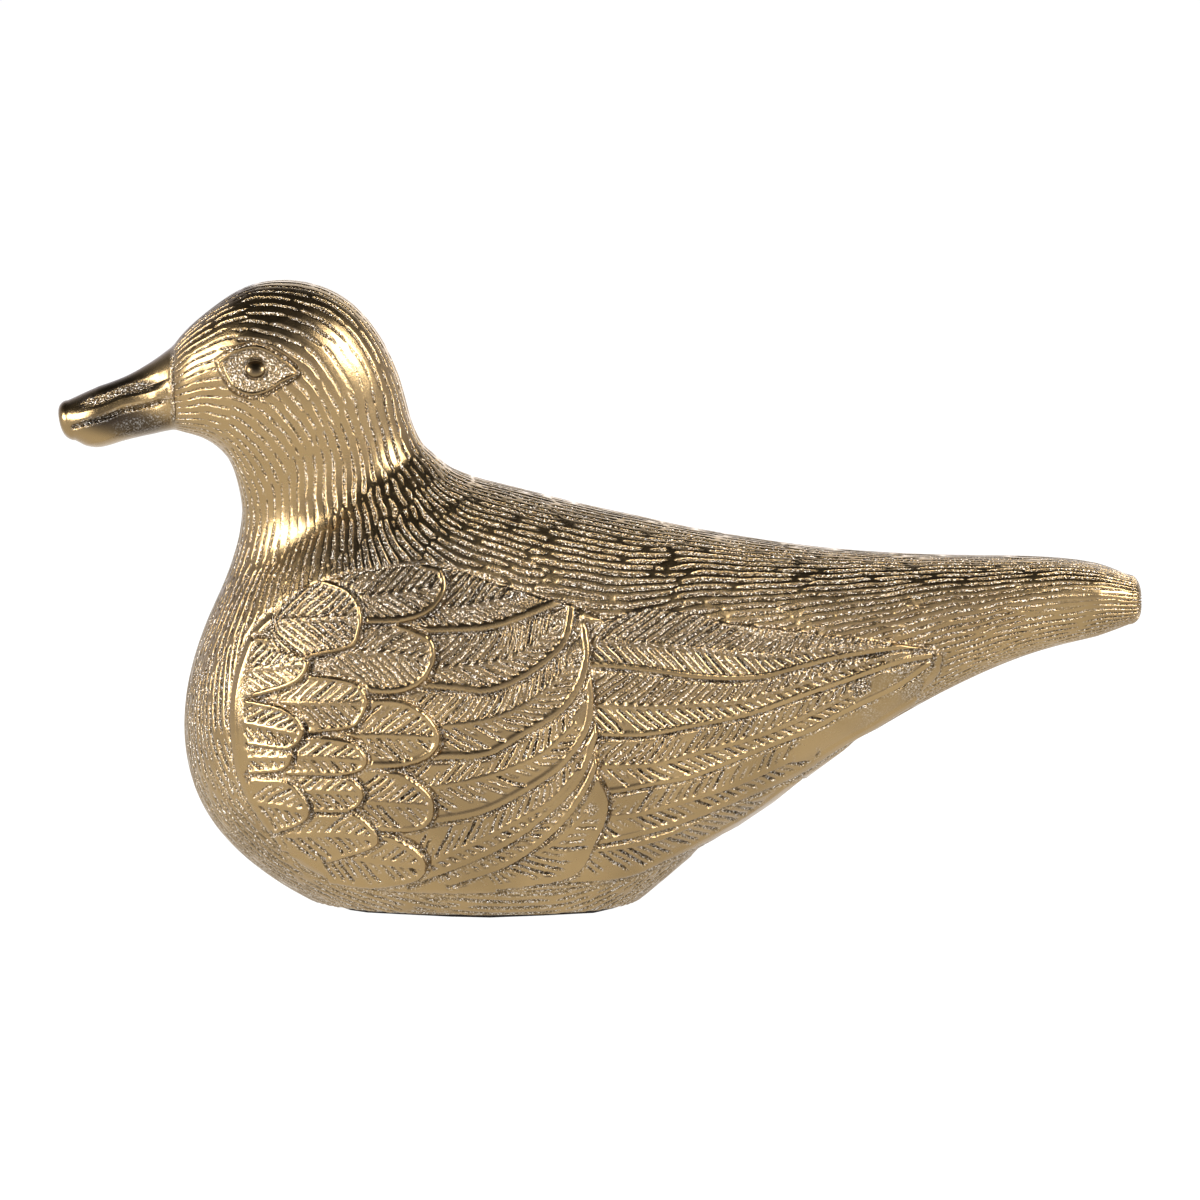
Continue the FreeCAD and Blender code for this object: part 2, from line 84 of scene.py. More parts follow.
lens = bpy.data.cameras.new("camera")
lens.sensor_width = SENSOR
lens.lens = SENSOR * CAMERA_DISTANCE / (PHOTO_WIDTH * PHOTO_SCALE)
lens.clip_start = 0.05
lens.clip_end = 60
camera = bpy.data.objects.new("camera", lens)
camera.location = camera_place * METRES
camera.rotation_euler = (math.pi / 2 - CAMERA_ELEVATION, 0, 0)
scene.collection.objects.link(camera)
scene.camera = camera
print("camera at", [round(value) for value in camera_place], "mm, lens", round(lens.lens), "mm")


def photo_place(points):
    """The pixel of the photograph, across and down, that each point in millimetres falls on."""
    away = points - camera_place
    depth = away @ ahead
    pixels = CAMERA_DISTANCE / PHOTO_SCALE
    across = PHOTO_WIDTH / 2 + pixels * away[..., 0] / depth
    down = PHOTO_WIDTH / 2 - pixels * (away @ upward) / depth
    return np.stack([across, down], axis=-1)


# %% [markdown]
# ## The bare skin
# The duck has no flat faces, but it has a rule: a bent row of ovals, each a little fuller than an
# ellipse, from the tip of the bill to the end of the tail. It could be sculpted, or remeshed from the
# CAD solids, but then its faces would run anywhere. The table is the CAD's own, as shares of the length
# and the height. A cubic curve through each column gives as many ovals between as the carving needs, and
# each oval gets its points evenly along its edge, so that lines of points run with the feathers, from
# the bill over the head, down the neck and back to the tail.

# %% The rows of ovals
LENGTH = 305.0
HEIGHT = 176.0
FULLNESS = 2.15

# Top x and z, bottom x and z, full width in mm, share of the way down where it is widest.
BILL_ROWS = [
    (-0.001, 0.808, 0.007, 0.744, 16.0, 0.50),
    (0.027, 0.826, 0.034, 0.736, 20.0, 0.50),
    (0.053, 0.842, 0.060, 0.746, 19.6, 0.50),
    (0.083, 0.867, 0.087, 0.757, 20.2, 0.50),
    (0.105, 0.894, 0.106, 0.762, 24.0, 0.50),
]
BODY_ROWS = [
    (0.108, 0.899, 0.109, 0.762, 27.0, 0.50),
    (0.114, 0.912, 0.116, 0.759, 31.5, 0.50),
    (0.140, 0.953, 0.136, 0.748, 38.7, 0.50),
    (0.177, 0.992, 0.155, 0.722, 43.7, 0.50),
    (0.222, 1.000, 0.164, 0.688, 45.0, 0.50),
    (0.264, 0.974, 0.168, 0.656, 44.6, 0.50),
    (0.300, 0.905, 0.169, 0.627, 41.9, 0.50),
    (0.318, 0.830, 0.167, 0.600, 38.7, 0.50),
    (0.327, 0.773, 0.163, 0.571, 38.7, 0.50),
    (0.335, 0.744, 0.155, 0.530, 41.4, 0.50),
    (0.345, 0.725, 0.140, 0.471, 50.8, 0.52),
    (0.357, 0.707, 0.123, 0.391, 63.9, 0.54),
    (0.370, 0.694, 0.114, 0.278, 79.0, 0.56),
    (0.387, 0.683, 0.131, 0.156, 89.3, 0.57),
    (0.407, 0.674, 0.186, 0.050, 94.0, 0.58),
    (0.444, 0.658, 0.277, -0.032, 94.0, 0.58),
    (0.491, 0.638, 0.389, -0.069, 90.2, 0.57),
    (0.537, 0.621, 0.491, -0.047, 82.7, 0.55),
    (0.593, 0.600, 0.593, 0.083, 72.4, 0.52),
    (0.676, 0.577, 0.676, 0.185, 59.2, 0.48),
    (0.760, 0.563, 0.760, 0.281, 47.9, 0.45),
    (0.843, 0.558, 0.843, 0.360, 37.6, 0.42),
    (0.917, 0.555, 0.917, 0.410, 31.7, 0.42),
    (0.968, 0.543, 0.968, 0.432, 27.8, 0.42),
    (1.000, 0.527, 1.000, 0.448, 24.0, 0.45),
]
# Millimetres from one oval to the next.
STEP_ALONG = 0.42


def smooth_curve(knots, values, places):
    """The natural cubic curve through the values at the knots, read at the places."""
    gaps = np.diff(knots)
    slopes = np.diff(values, axis=0) / gaps[:, None]
    count = len(knots)
    system = np.eye(count)
    wanted = np.zeros((count, values.shape[1]))
    for row in range(1, count - 1):
        system[row, row - 1 : row + 2] = (gaps[row - 1], 2 * (gaps[row - 1] + gaps[row]), gaps[row])
        wanted[row] = 6 * (slopes[row] - slopes[row - 1])
    bends = np.linalg.solve(system, wanted)
    span = np.clip(np.searchsorted(knots, places, side="right") - 1, 0, count - 2)
    gap = gaps[span][:, None]
    into = ((places - knots[span]) / gaps[span])[:, None]
    left = 1 - into
    straight = left * values[span] + into * values[span + 1]
    bent = (left**3 - left) * bends[span] + (into**3 - into) * bends[span + 1]
    return straight + gap**2 / 6 * bent


def between_rows(rows):
    """Ovals STEP_ALONG apart through a table of rows, in mm, and each one's place in the table."""
    table = np.array(rows)
    table[:, [0, 2]] = (table[:, [0, 2]] - 0.5) * LENGTH
    table[:, [1, 3]] *= HEIGHT
    moves = np.diff(table, axis=0)
    furthest = np.maximum(np.hypot(*moves[:, 0:2].T), np.hypot(*moves[:, 2:4].T))
    knots = np.concatenate([[0], np.cumsum(furthest)])
    places = np.linspace(0, knots[-1], int(knots[-1] / STEP_ALONG) + 1)
    return smooth_curve(knots, table, places), np.interp(places, knots, np.arange(len(knots)))


bill, bill_place = between_rows(BILL_ROWS)
body, body_place = between_rows(BODY_ROWS)
print("ovals:", len(bill), "in the bill and", len(body), "from the face to the tail")

# %% The skin as a sheet of points
# Points from the ridge of the back to the belly, and the share of them that the upper three quarters
# get, where the carving is.
SIDE_POINTS = 380
FLANK_SHARE = 0.75
FLANK_POINTS = 0.83
OVAL_STEPS = 1440
# Each end is a flat middle with an edge rounded by so many mm, and the ovals next to it make room.
END_BEVEL = 3.0
BEVEL_STEPS = 9
FLAT_STEPS = 14
SET_BACK_STEPS = 30

share_of_points = np.linspace(0, 1, SIDE_POINTS)
share_down = np.interp(share_of_points, [0, FLANK_POINTS, 1], [0, FLANK_SHARE, 1])


def oval(row, inset=0.0, out=0.0, direction=(0.0, 0.0)):
    """The left half of one oval, top to bottom, drawn in by inset and moved out along direction."""
    top = np.array(row[0:2])
    bottom = np.array(row[2:4])
    depth = np.linalg.norm(bottom - top)
    down = (bottom - top) / depth
    above = max(row[5] * depth - inset, 0.0)
    below = max((1 - row[5]) * depth - inset, 0.0)
    side = max(row[4] / 2 - inset, 0.0)
    middle = top + down * row[5] * depth + np.array(direction) * out
    angle = np.linspace(0, math.pi, OVAL_STEPS + 1)
    rise = np.abs(np.cos(angle)) ** (2 / FULLNESS)
    fall = np.where(np.cos(angle) > 0, -rise * above, rise * below)
    spread = -side * np.sin(angle) ** (2 / FULLNESS)
    edge = np.stack([middle[0] + down[0] * fall, spread, middle[1] + down[1] * fall], axis=-1)
    run = np.concatenate([[0], np.cumsum(np.linalg.norm(np.diff(edge, axis=0), axis=1))])
    wanted = share_down * run[-1]
    return np.stack([np.interp(wanted, run, edge[:, axis]) for axis in range(3)], axis=-1)


def end_cap(row, next_row):
    """Ovals that close an end: a flat middle, from a single point outwards, and then a rounded edge."""
    direction = row[0:2] + row[2:4] - next_row[0:2] - next_row[2:4]
    direction /= np.linalg.norm(direction)
    edge = oval(row, END_BEVEL)
    centre = (edge[0] + edge[-1]) / 2
    flat = [centre + share * (edge - centre) for share in np.linspace(0, 1, FLAT_STEPS)[:-1]]
    rounded = []
    for turn in np.linspace(0, math.pi / 2, BEVEL_STEPS + 1)[:-1]:
        inset, out = END_BEVEL * (1 - math.sin(turn)), END_BEVEL * (math.cos(turn) - 1)
        rounded.append(oval(row, inset, out, direction))
    return flat + rounded, direction


def set_back(row, step, direction):
    """The oval that lies step ovals from an end, moved in to make room for the rounded edge there."""
    return oval(row, 0.0, -END_BEVEL * max(0.0, 1 - step / SET_BACK_STEPS), direction)


bill_cap, bill_front = end_cap(bill[0], bill[1])
tail_cap, tail_back = end_cap(body[-1], body[-2])
beak = [set_back(row, step, bill_front) for step, row in enumerate(bill)]
trunk = [set_back(row, step, tail_back) for step, row in enumerate(body[::-1])][::-1]
skin = np.array(bill_cap + beak + trunk + tail_cap[::-1])
# A place is counted in rows of the tables: below zero on the bill, from zero up on the body.
BILL_START = -len(BILL_ROWS)
TAIL_END = len(BODY_ROWS) - 1
row_place = np.concatenate([
    np.full(len(bill_cap), float(BILL_START)),
    bill_place + BILL_START,
    body_place,
    np.full(len(tail_cap), float(TAIL_END)),
])
print("skin:", skin.shape[0], "ovals of", skin.shape[1], "points on each side")

# %% Directions and distances on the skin
# The felt pad is this thick, in mm, and the brass starts above it.
SOLE_HEIGHT = 1.0
# Against a division by nothing, where points meet.
TINY = 1e-9

along_skin = np.gradient(skin, axis=0)
down_skin = np.gradient(skin, axis=1)
outward = np.cross(down_skin, along_skin)
outward[:, [0, -1], 1] = 0
lengths = np.linalg.norm(outward, axis=2, keepdims=True)
outward = outward / np.maximum(lengths, TINY)
for cap_row, direction in ((0, bill_front), (-1, tail_back)):
    outward[cap_row] = (direction[0], 0, direction[1])
skin[..., 2] = np.maximum(skin[..., 2], SOLE_HEIGHT)

steps_along = np.linalg.norm(np.diff(skin, axis=0), axis=2)
mm_along = np.concatenate([np.zeros((1, SIDE_POINTS)), np.cumsum(steps_along, axis=0)])
place = np.repeat(row_place[:, None], SIDE_POINTS, axis=1)
share = np.repeat(share_down[None, :], len(skin), axis=0)
pixel = photo_place(skin)
print("skin box in mm:", skin.reshape(-1, 3).min(0).round(1), skin.reshape(-1, 3).max(0).round(1))

# %% [markdown]
# ## Where the strokes run
# The carver cut short strokes side by side, staggered like bricks, along the lines from the bill to the
# tail. Each stroke is a flat-bottomed groove 16 to 36 mm long, and the metal left between is smooth. The
# body is thicker than the neck, so the number of strokes round it changes in steps, and where it does,
# a row of strokes ends. A picture of strokes could be wrapped round the body, but it would stretch.
# Instead, each point of the skin gets the number of the stroke it lies on, and how far along the line it
# is, and both go into the mesh as attributes. Three spots were rubbed smooth again: the cheek, the front
# of the neck and the side of the tail.

# %% Stroke numbers
# From this row of ovals on, this many strokes from the ridge of the back to the belly, their length
# against the usual one, how deep they are, and how much of each stroke's width is groove.
STROKE_ZONES = [
    (-9.0, 24, 1.0, 0.0, 0.5),
    (0.3, 25, 0.5, 0.6, 0.46),
    (3.0, 27, 0.45, 0.7, 0.5),
    (6.3, 26, 0.55, 0.75, 0.5),
    (9.4, 37, 0.7, 0.9, 0.56),
    (11.1, 58, 0.9, 0.9, 0.66),
    (12.9, 73, 0.95, 0.8, 0.66),
    (15.4, 66, 1.0, 0.8, 0.66),
    (17.6, 54, 1.0, 0.8, 0.66),
    (19.1, 42, 1.0, 0.8, 0.66),
    (20.3, 32, 0.9, 0.75, 0.62),
    (21.6, 25, 0.9, 0.75, 0.62),
]
# The borders between zones are wavy: height in rows, waves from back to belly, and where they start.
# The strokes fade out over this many mm on each side.
BORDER_WAVES = [(0.16, 46.0, 0.0), (0.12, 108.1, 1.0)]
BORDER_FADE = 1.3
# More than the strokes of any zone, so that no two strokes share a number.
NUMBERS_PER_ZONE = 200
# Middle and radii, in pixels of the photograph, and the share of the depth that was rubbed away.
RUBBED_SPOTS = [((346, 362), (30, 38)), ((300, 522), (38, 44)), ((1080, 600), (48, 16))]
RUBBED_AWAY = 0.85
# Against a division by nothing at the two ends, where the row doesn't change.
LEAST_ROWS = 1e-3

strokes_across = np.zeros_like(place)
strokes_along = np.zeros_like(place)
strokes = np.zeros_like(place)
groove_share = np.zeros_like(place)
mm_per_row = np.gradient(mm_along, axis=0) / np.maximum(np.gradient(place, axis=0), LEAST_ROWS)
wave = sum(height * np.sin(waves * share + start) for height, waves, start in BORDER_WAVES)
for number, (start, count, longer, depth, open_share) in enumerate(STROKE_ZONES):
    inside = place + wave >= start
    strokes_across[inside] = share[inside] * count + number * NUMBERS_PER_ZONE
    strokes_along[inside] = mm_along[inside] / longer
    strokes[inside] = depth
    groove_share[inside] = open_share
for start, *rest in STROKE_ZONES[1:]:
    border = np.abs(place + wave - start) * mm_per_row
    strokes *= np.clip(border / BORDER_FADE, 0, 1)
for middle, radii in RUBBED_SPOTS:
    strokes *= 1 - RUBBED_AWAY * np.exp(-(((pixel - middle) / radii) ** 2).sum(axis=-1))
print("strokes in", len(STROKE_ZONES), "zones")

# %% [markdown]
# ## The map of the wing
# The folded wing is laid like tiles, front over back and upper over lower. Each feather could be an
# object of its own, but a casting is one skin, with no gaps under its feathers. So each is drawn as its
# visible edge, seen from the side, with a quill line down its middle, and the feathers are then painted
# on the skin from the lowest to the highest. What a point needs to know is which feather it is on, how
# far it is from that feather's edge, where it lies along and beside the quill, and how near it is to a
# feather that overlaps it.

# %% Feather outlines
# Kind: how far it stands out in mm at its root and at its tip, the width of its smooth edge, and
# whether it has barbs.
FEATHER_KINDS = {
    "wing": (0.3, 0.9, 2.4, 0),
    "primary": (0.6, 0.9, 1.5, 1),
    "secondary": (0.7, 1.9, 1.9, 1),
    "covert": (0.8, 2.2, 1.7, 1),
    "median": (0.9, 2.1, 1.2, 1),
    "lesser": (0.9, 2.1, 1.1, 1),
    "eye": (0.8, 0.0, 0.9, 0),
}
# Name, kind, visible edge, the rest of the outline, and quill, all in pixels of the photograph.
FEATHERS = [
    ("wing_plate", "wing",
     [(604, 621), (573, 607), (505, 588), (438, 567), (380, 571), (322, 584), (262, 622), (240, 662),
      (231, 712), (238, 775), (262, 822), (300, 862), (350, 884), (430, 893), (540, 889), (640, 874),
      (745, 820), (805, 776), (880, 721), (934, 678), (942, 655)],
     [(934, 648), (895, 643), (822, 643), (762, 637), (701, 616), (648, 609)], []),
    ("primary_5", "primary",
     [(500, 884), (580, 880), (628, 875), (665, 858), (701, 841), (750, 814), (800, 776)],
     [(860, 700), (600, 640), (500, 700)], [(560, 852), (640, 842), (690, 822), (745, 790)]),
    ("primary_4", "primary",
     [(560, 846), (604, 842), (653, 831), (701, 814), (750, 793), (798, 771), (837, 746), (871, 727),
      (915, 700)],
     [(930, 660), (700, 640), (560, 660)],
     [(560, 818), (609, 817), (643, 812), (689, 798), (738, 781), (790, 757)]),
    ("primary_3", "primary",
     [(560, 796), (612, 793), (653, 785), (689, 778), (725, 764), (774, 744), (810, 730), (847, 710),
      (895, 687), (930, 663)],
     [(930, 650), (700, 625), (560, 640)],
     [(560, 768), (607, 766), (653, 764), (701, 751), (750, 737), (798, 718), (850, 692)]),
    ("primary_2", "primary",
     [(560, 736), (595, 736), (645, 736), (694, 727), (750, 715), (798, 698), (847, 681), (895, 664),
      (932, 656)],
     [(930, 648), (700, 620), (560, 630)],
     [(560, 704), (599, 705), (641, 707), (689, 705), (738, 701), (786, 688), (834, 671), (883, 657)]),
    ("primary_1", "primary",
     [(560, 664), (595, 667), (641, 671), (701, 679), (757, 679), (798, 669), (847, 657), (907, 648),
      (936, 649)],
     [(895, 643), (822, 644), (762, 639), (701, 617), (648, 610), (604, 621), (560, 625)],
     [(570, 643), (604, 642), (665, 646), (725, 652), (774, 656), (813, 650), (880, 646)]),
    ("secondary_7", "secondary",
     [(500, 888), (572, 874), (596, 837), (605, 817), (607, 798), (598, 777)],
     [(560, 720), (430, 760), (430, 880)], [(505, 862), (552, 842), (585, 812)]),
    ("secondary_6", "secondary",
     [(450, 884), (508, 864), (550, 834), (578, 802), (597, 766)],
     [(590, 720), (430, 740), (400, 870)], [(450, 868), (508, 846), (560, 803)]),
    ("secondary_5", "secondary",
     [(410, 884), (474, 860), (525, 832), (576, 785), (597, 736)],
     [(590, 690), (430, 690), (390, 870)], [(430, 862), (487, 836), (525, 815), (552, 798), (577, 770)]),
    ("secondary_4", "secondary",
     [(400, 827), (476, 815), (523, 793), (562, 766), (587, 731), (593, 703), (591, 680)],
     [(585, 640), (430, 640), (390, 810)], [(410, 791), (476, 779), (514, 766), (546, 750), (573, 724)]),
    ("secondary_3", "secondary",
     [(410, 761), (443, 759), (487, 756), (525, 735), (562, 712), (581, 685), (589, 655), (586, 628)],
     [(573, 607), (430, 610), (390, 740)],
     [(415, 728), (445, 726), (476, 722), (510, 712), (540, 694), (570, 664)]),
    ("secondary_2", "secondary",
     [(410, 686), (462, 691), (487, 693), (518, 682), (548, 662), (567, 641), (574, 607)],
     [(560, 600), (430, 600), (390, 670)], [(415, 667), (443, 668), (487, 664), (520, 654), (552, 630)]),
    ("secondary_1", "secondary",
     [(410, 634), (437, 633), (495, 629), (561, 606)],
     [(540, 598), (505, 588), (438, 567), (380, 600)], [(410, 608), (460, 608), (505, 600)]),
    ("covert_5", "covert",
     [(372, 828), (392, 834), (417, 847), (427, 862), (417, 877), (372, 886), (330, 882)],
     [(320, 850), (345, 820)], [(335, 852), (380, 859), (420, 862)]),
    ("covert_4", "covert",
     [(360, 765), (396, 770), (417, 781), (432, 795), (434, 812), (427, 824), (410, 830), (375, 829)],
     [(330, 820), (330, 780)], [(340, 800), (390, 802), (428, 804)]),
    ("covert_3", "covert",
     [(352, 700), (396, 699), (419, 708), (434, 722), (440, 737), (436, 750), (421, 761), (396, 767),
      (360, 767)],
     [(320, 750), (330, 715)], [(340, 736), (390, 735), (434, 737)]),
    ("covert_2", "covert",
     [(395, 622), (427, 636), (435, 648), (434, 664), (425, 680), (410, 690), (387, 694), (350, 690)],
     [(330, 670), (340, 622)], [(340, 652), (390, 654), (429, 660)]),
    ("covert_1", "covert",
     [(425, 566), (440, 571), (446, 587), (438, 605), (423, 617), (400, 623), (350, 624)],
     [(330, 610), (345, 575), (380, 570)], [(350, 600), (400, 594), (440, 589)]),
    ("median_4", "median",
     [(318, 808), (333, 806), (352, 810), (368, 820), (379, 835), (371, 846), (330, 860)],
     [(280, 850), (285, 815)], [(290, 834), (335, 832), (374, 835)]),
    ("median_3", "median",
     [(310, 771), (340, 773), (360, 783), (364, 797), (350, 809), (310, 810)],
     [(280, 800), (280, 778)], [(290, 790), (325, 790), (360, 791)]),
    ("median_2", "median",
     [(300, 735), (346, 739), (361, 748), (368, 760), (360, 770), (340, 774), (290, 774)],
     [(270, 765), (270, 740)], [(285, 755), (325, 757), (364, 760)]),
    ("median_1", "median",
     [(305, 674), (350, 680), (364, 690), (368, 703), (362, 718), (350, 728), (300, 734)],
     [(275, 720), (275, 680)], [(285, 703), (325, 703), (364, 703)]),
    ("lesser_5", "lesser",
     [(252, 778), (287, 779), (304, 793), (311, 811), (301, 822), (275, 832)],
     [(266, 815), (252, 790)], [(252, 801), (280, 804), (307, 809)]),
    ("lesser_4", "lesser",
     [(258, 743), (287, 745), (294, 756), (284, 769), (250, 773)],
     [(249, 765), (249, 748)], [(245, 758), (270, 757), (291, 757)]),
    ("lesser_3", "lesser",
     [(248, 700), (276, 705), (293, 712), (303, 723), (305, 733), (299, 743), (287, 748), (250, 744)],
     [(246, 735), (245, 708)], [(243, 722), (275, 728), (302, 734)]),
    ("lesser_2", "lesser",
     [(258, 638), (295, 643), (305, 652), (311, 664), (303, 679), (287, 688), (255, 697)],
     [(250, 690), (254, 655)], [(250, 670), (280, 667), (308, 664)]),
    ("lesser_1", "lesser",
     [(325, 582), (348, 591), (359, 603), (363, 617), (361, 632), (352, 648), (310, 658)],
     [(270, 650), (275, 615), (300, 590)], [(285, 622), (325, 620), (360, 619)]),
    ("eyelids", "eye",
     [(219, 361), (236, 350), (256, 346), (276, 354), (297, 372), (281, 383), (266, 392), (250, 395),
      (234, 388), (225, 375), (219, 361)],
     [], []),
]
RUNS_PER_SPAN = 6


def through(points):
    """A smooth line through the points of the side view, as many short runs."""
    line = np.array(points, float)
    whole = np.vstack([2 * line[:1] - line[1:2], line, 2 * line[-1:] - line[-2:-1]])
    share_in = np.linspace(0, 1, RUNS_PER_SPAN, endpoint=False)[:, None]
    runs = []
    for a, b, c, d in zip(whole, whole[1:], whole[2:], whole[3:]):
        curve = b + 0.5 * share_in * (c - a) + share_in**2 * (a - 2.5 * b + 2 * c - 0.5 * d)
        runs.append(curve + share_in**3 * (1.5 * (b - c) + 0.5 * (d - a)))
    return np.vstack(runs + [line[-1:]])


def beside(points, line):
    """Distance to a line of the side view, distance along it, and on which side each point lies."""
    nearest = np.full(len(points), np.inf)
    along = np.zeros(len(points))
    side = np.ones(len(points))
    passed = 0.0
    last = len(line) - 2
    for index, (start, end) in enumerate(zip(line, line[1:])):
        run = end - start
        length = np.hypot(*run)
        away = points - start
        into = away @ run / length**2
        held = np.clip(into, 0, 1)
        distance = np.hypot(*(away - held[:, None] * run).T)
        closer = distance < nearest
        nearest = np.where(closer, distance, nearest)
        beyond = np.where(((index == 0) & (into < 0)) | ((index == last) & (into > 1)), into, held)
        along = np.where(closer, passed + beyond * length, along)
        side = np.where(closer, np.sign(run[0] * away[:, 1] - run[1] * away[:, 0]), side)
        passed += length
    return nearest, along, side


def inside_of(points, outline):
    """Which points of the side view lie inside a closed outline."""
    within = np.zeros(len(points), bool)
    for start, end in zip(outline, np.roll(outline, -1, axis=0)):
        crosses = (start[1] > points[:, 1]) != (end[1] > points[:, 1])
        rise = end[1] - start[1]
        at_height = start[0] + (points[:, 1] - start[1]) * (end[0] - start[0]) / (rise or TINY)
        within ^= crosses & (points[:, 0] < at_height)
    return within


print("outlines:", ", ".join(name for name, *rest in FEATHERS))

# %% Painting the feathers on the skin, lowest first
# A distance that nothing reaches, how many pixels round a feather are looked at for its shadow, how
# many mm inside its edge a plate with no quill has its full height, and how late a feather rises.
FAR = 99.0
SHADOW_PIXELS = 12
PLATE_SLOPE = 2.0
LATE_RISE = 1.3

owner = np.full(place.shape, -1)
lift, shaft, barbs = (np.zeros_like(place) for field in range(3))
edge, cover, vane = (np.full(place.shape, FAR) for field in range(3))
flat_pixel = pixel.reshape(-1, 2)
for number, (name, kind, visible, rest, quill) in enumerate(FEATHERS):
    root_lift, tip_lift, edge_width, has_barbs = FEATHER_KINDS[kind]
    rim_line = through(visible)
    outline = np.vstack([rim_line, np.array(rest, float).reshape(-1, 2)])
    low, high = outline.min(0) - SHADOW_PIXELS, outline.max(0) + SHADOW_PIXELS
    near = np.flatnonzero(((flat_pixel > low) & (flat_pixel < high)).all(axis=1))
    spots = flat_pixel[near]
    within = inside_of(spots, outline)
    distance = beside(spots, rim_line)[0] * PHOTO_SCALE
    ours = near[within]
    owner.flat[ours] = number
    edge.flat[ours] = distance[within] / edge_width
    cover.flat[ours] = FAR
    barbs.flat[ours] = has_barbs
    vane.flat[ours] = FAR
    risen = np.clip(distance[within] / PLATE_SLOPE, 0, 1)
    if quill:
        quill_line = through(quill)
        off, run, side = beside(spots[within], quill_line)
        shaft.flat[ours] = run * PHOTO_SCALE
        vane.flat[ours] = off * side * PHOTO_SCALE
        full = np.linalg.norm(np.diff(quill_line, axis=0), axis=1).sum()
        risen = np.clip(run / full, 0, 1) ** LATE_RISE
    lift.flat[ours] = root_lift + (tip_lift - root_lift) * risen
    beyond = near[~within]
    cover.flat[beyond] = np.minimum(cover.flat[beyond], distance[~within])
print("feathers:", len(FEATHERS) - 2, "on each wing, over", int((owner >= 0).sum()), "points of the skin")

# %% [markdown]
# ## The bill and the eye
# The bill is polished smooth. From the side it is two soft rolls with the mouth cut between them, and a
# hollow above the upper roll. The eye is an almond with a raised rim, a sunken floor and a domed pupil.
# Both could be stuck on as parts, but that would show joints that a casting doesn't have, so they are
# pushed out of the same skin by a smooth height. The floor of the eye, the hollows of the bill and the
# upper feathers were never polished, so they are marked as raw castings.

# %% Heights of the bill
# The line of the mouth, in pixels of the photograph.
MOUTH = [(58, 431), (74, 427), (103, 419), (122, 411), (150, 405), (168, 399)]
# Pixels below the mouth line, and how far the skin stands out there in mm.
BILL_PROFILE = [
    (-40, 0.0), (-30, -0.35), (-21, -0.85), (-12, 0.5), (-6, 0.75), (-2, 0.55),
    (1, -0.5), (4, -0.8), (20, 0.8), (27, 0.45), (34, 0.0),
]
# Pixels across between which the rolls grow out of the tip, and run into the face.
BILL_FADE = (64, 108, 156, 174)
# Half the width of the mouth's cut in mm, and the pixels over which it runs out at its ends.
MOUTH_REACH = 0.7
MOUTH_ENDS = ((62, 72, 160, 168), (6, 0, 0, 3))
# The bill grows out of the face with a crease, which runs out at its top and bottom.
CREASE_ENDS = ((338, 360, 412, 432), (2.0, 0.0, 0.0, 2.0))

across_photo, down_photo = pixel[..., 0], pixel[..., 1]
on_bill = (place < 0) & (place > BILL_START)
below_mouth = down_photo - np.interp(across_photo, *np.array(MOUTH, float).T)
bill_strength = np.interp(across_photo, BILL_FADE, (0, 1, 1, 0)) * on_bill
form = np.interp(below_mouth, *np.array(BILL_PROFILE).T) * bill_strength
near_mouth = np.abs(below_mouth) * PHOTO_SCALE / MOUTH_REACH + np.interp(across_photo, *MOUTH_ENDS)
cover = np.where(on_bill, np.minimum(cover, near_mouth), cover)
from_face = np.abs(place) * mm_per_row + np.interp(down_photo, *CREASE_ENDS)
cover = np.minimum(cover, np.where(np.abs(place) < 1, from_face, FAR))
print("bill:", int(on_bill.sum()), "points")

# %% Heights of the eye
# The pupil in pixels of the photograph, and its dome and the floor round it in mm. The pupil leans a
# little outwards at its lower edge. The floor ends this far out, in pupils, over this much.
EYE = (255.5, 369.0)
PUPIL_RADIUS = (10.4, 8.8)
PUPIL_HEIGHT = 1.5
PUPIL_LEAN = 0.8
WELL_DEPTH = 0.7
WELL_END = 1.35
WELL_SLOPE = 0.3

from_eye = (pixel - EYE) / PUPIL_RADIUS
from_pupil = np.hypot(from_eye[..., 0], from_eye[..., 1])
in_eye = owner == len(FEATHERS) - 1
dome = PUPIL_HEIGHT * np.sqrt(np.clip(1 - from_pupil**2, 0, 1))
dome += PUPIL_LEAN * (from_pupil < 1) * from_eye[..., 1]
well = -WELL_DEPTH * np.clip((WELL_END - from_pupil) / WELL_SLOPE, 0, 1)
form += np.where(in_eye, dome + well, 0)
print("eye at", skin[in_eye & (from_pupil < 0.1)].mean(axis=0).round(1), "mm")

# %% What was never polished
# Pixels down between which the feathers grow smoother, and how raw the upper ones and the eye are.
RAW_FEATHERS = (640, 735)
RAW_FEATHER_SHARE = 0.65
RAW_EYE_SHARE = 0.45
PUPIL_POLISH = 0.2
# Raw bands of the bill: pixels below the mouth line, pixels across, and how raw.
RAW_BANDS = [(-26, -16, 84, 150, 0.75), (-3, 3, 80, 168, 0.8), (9, 24, 118, 166, 0.2)]
BAND_FADE = np.array([-3, 3, -3, 3])

# Raw places count as recess in the carving, so the metal gives them dirt with painted shade and painted
# glints too.
raw = np.interp(down_photo, RAW_FEATHERS, (RAW_FEATHER_SHARE, 0.0)) * (owner >= 0)
raw = np.where(in_eye, RAW_EYE_SHARE * np.clip((from_pupil - 1.0) / PUPIL_POLISH, 0, 1), raw)
for top, bottom, first, last, strength in RAW_BANDS:
    down = np.interp(below_mouth, (top, top, bottom, bottom) + BAND_FADE, (0, 1, 1, 0))
    across = np.interp(across_photo, (first, first, last, last) + 3 * BAND_FADE, (0, 1, 1, 0))
    raw = np.maximum(raw, strength * on_bill * down * across)
print("raw points:", int((raw > 0.1).sum()))
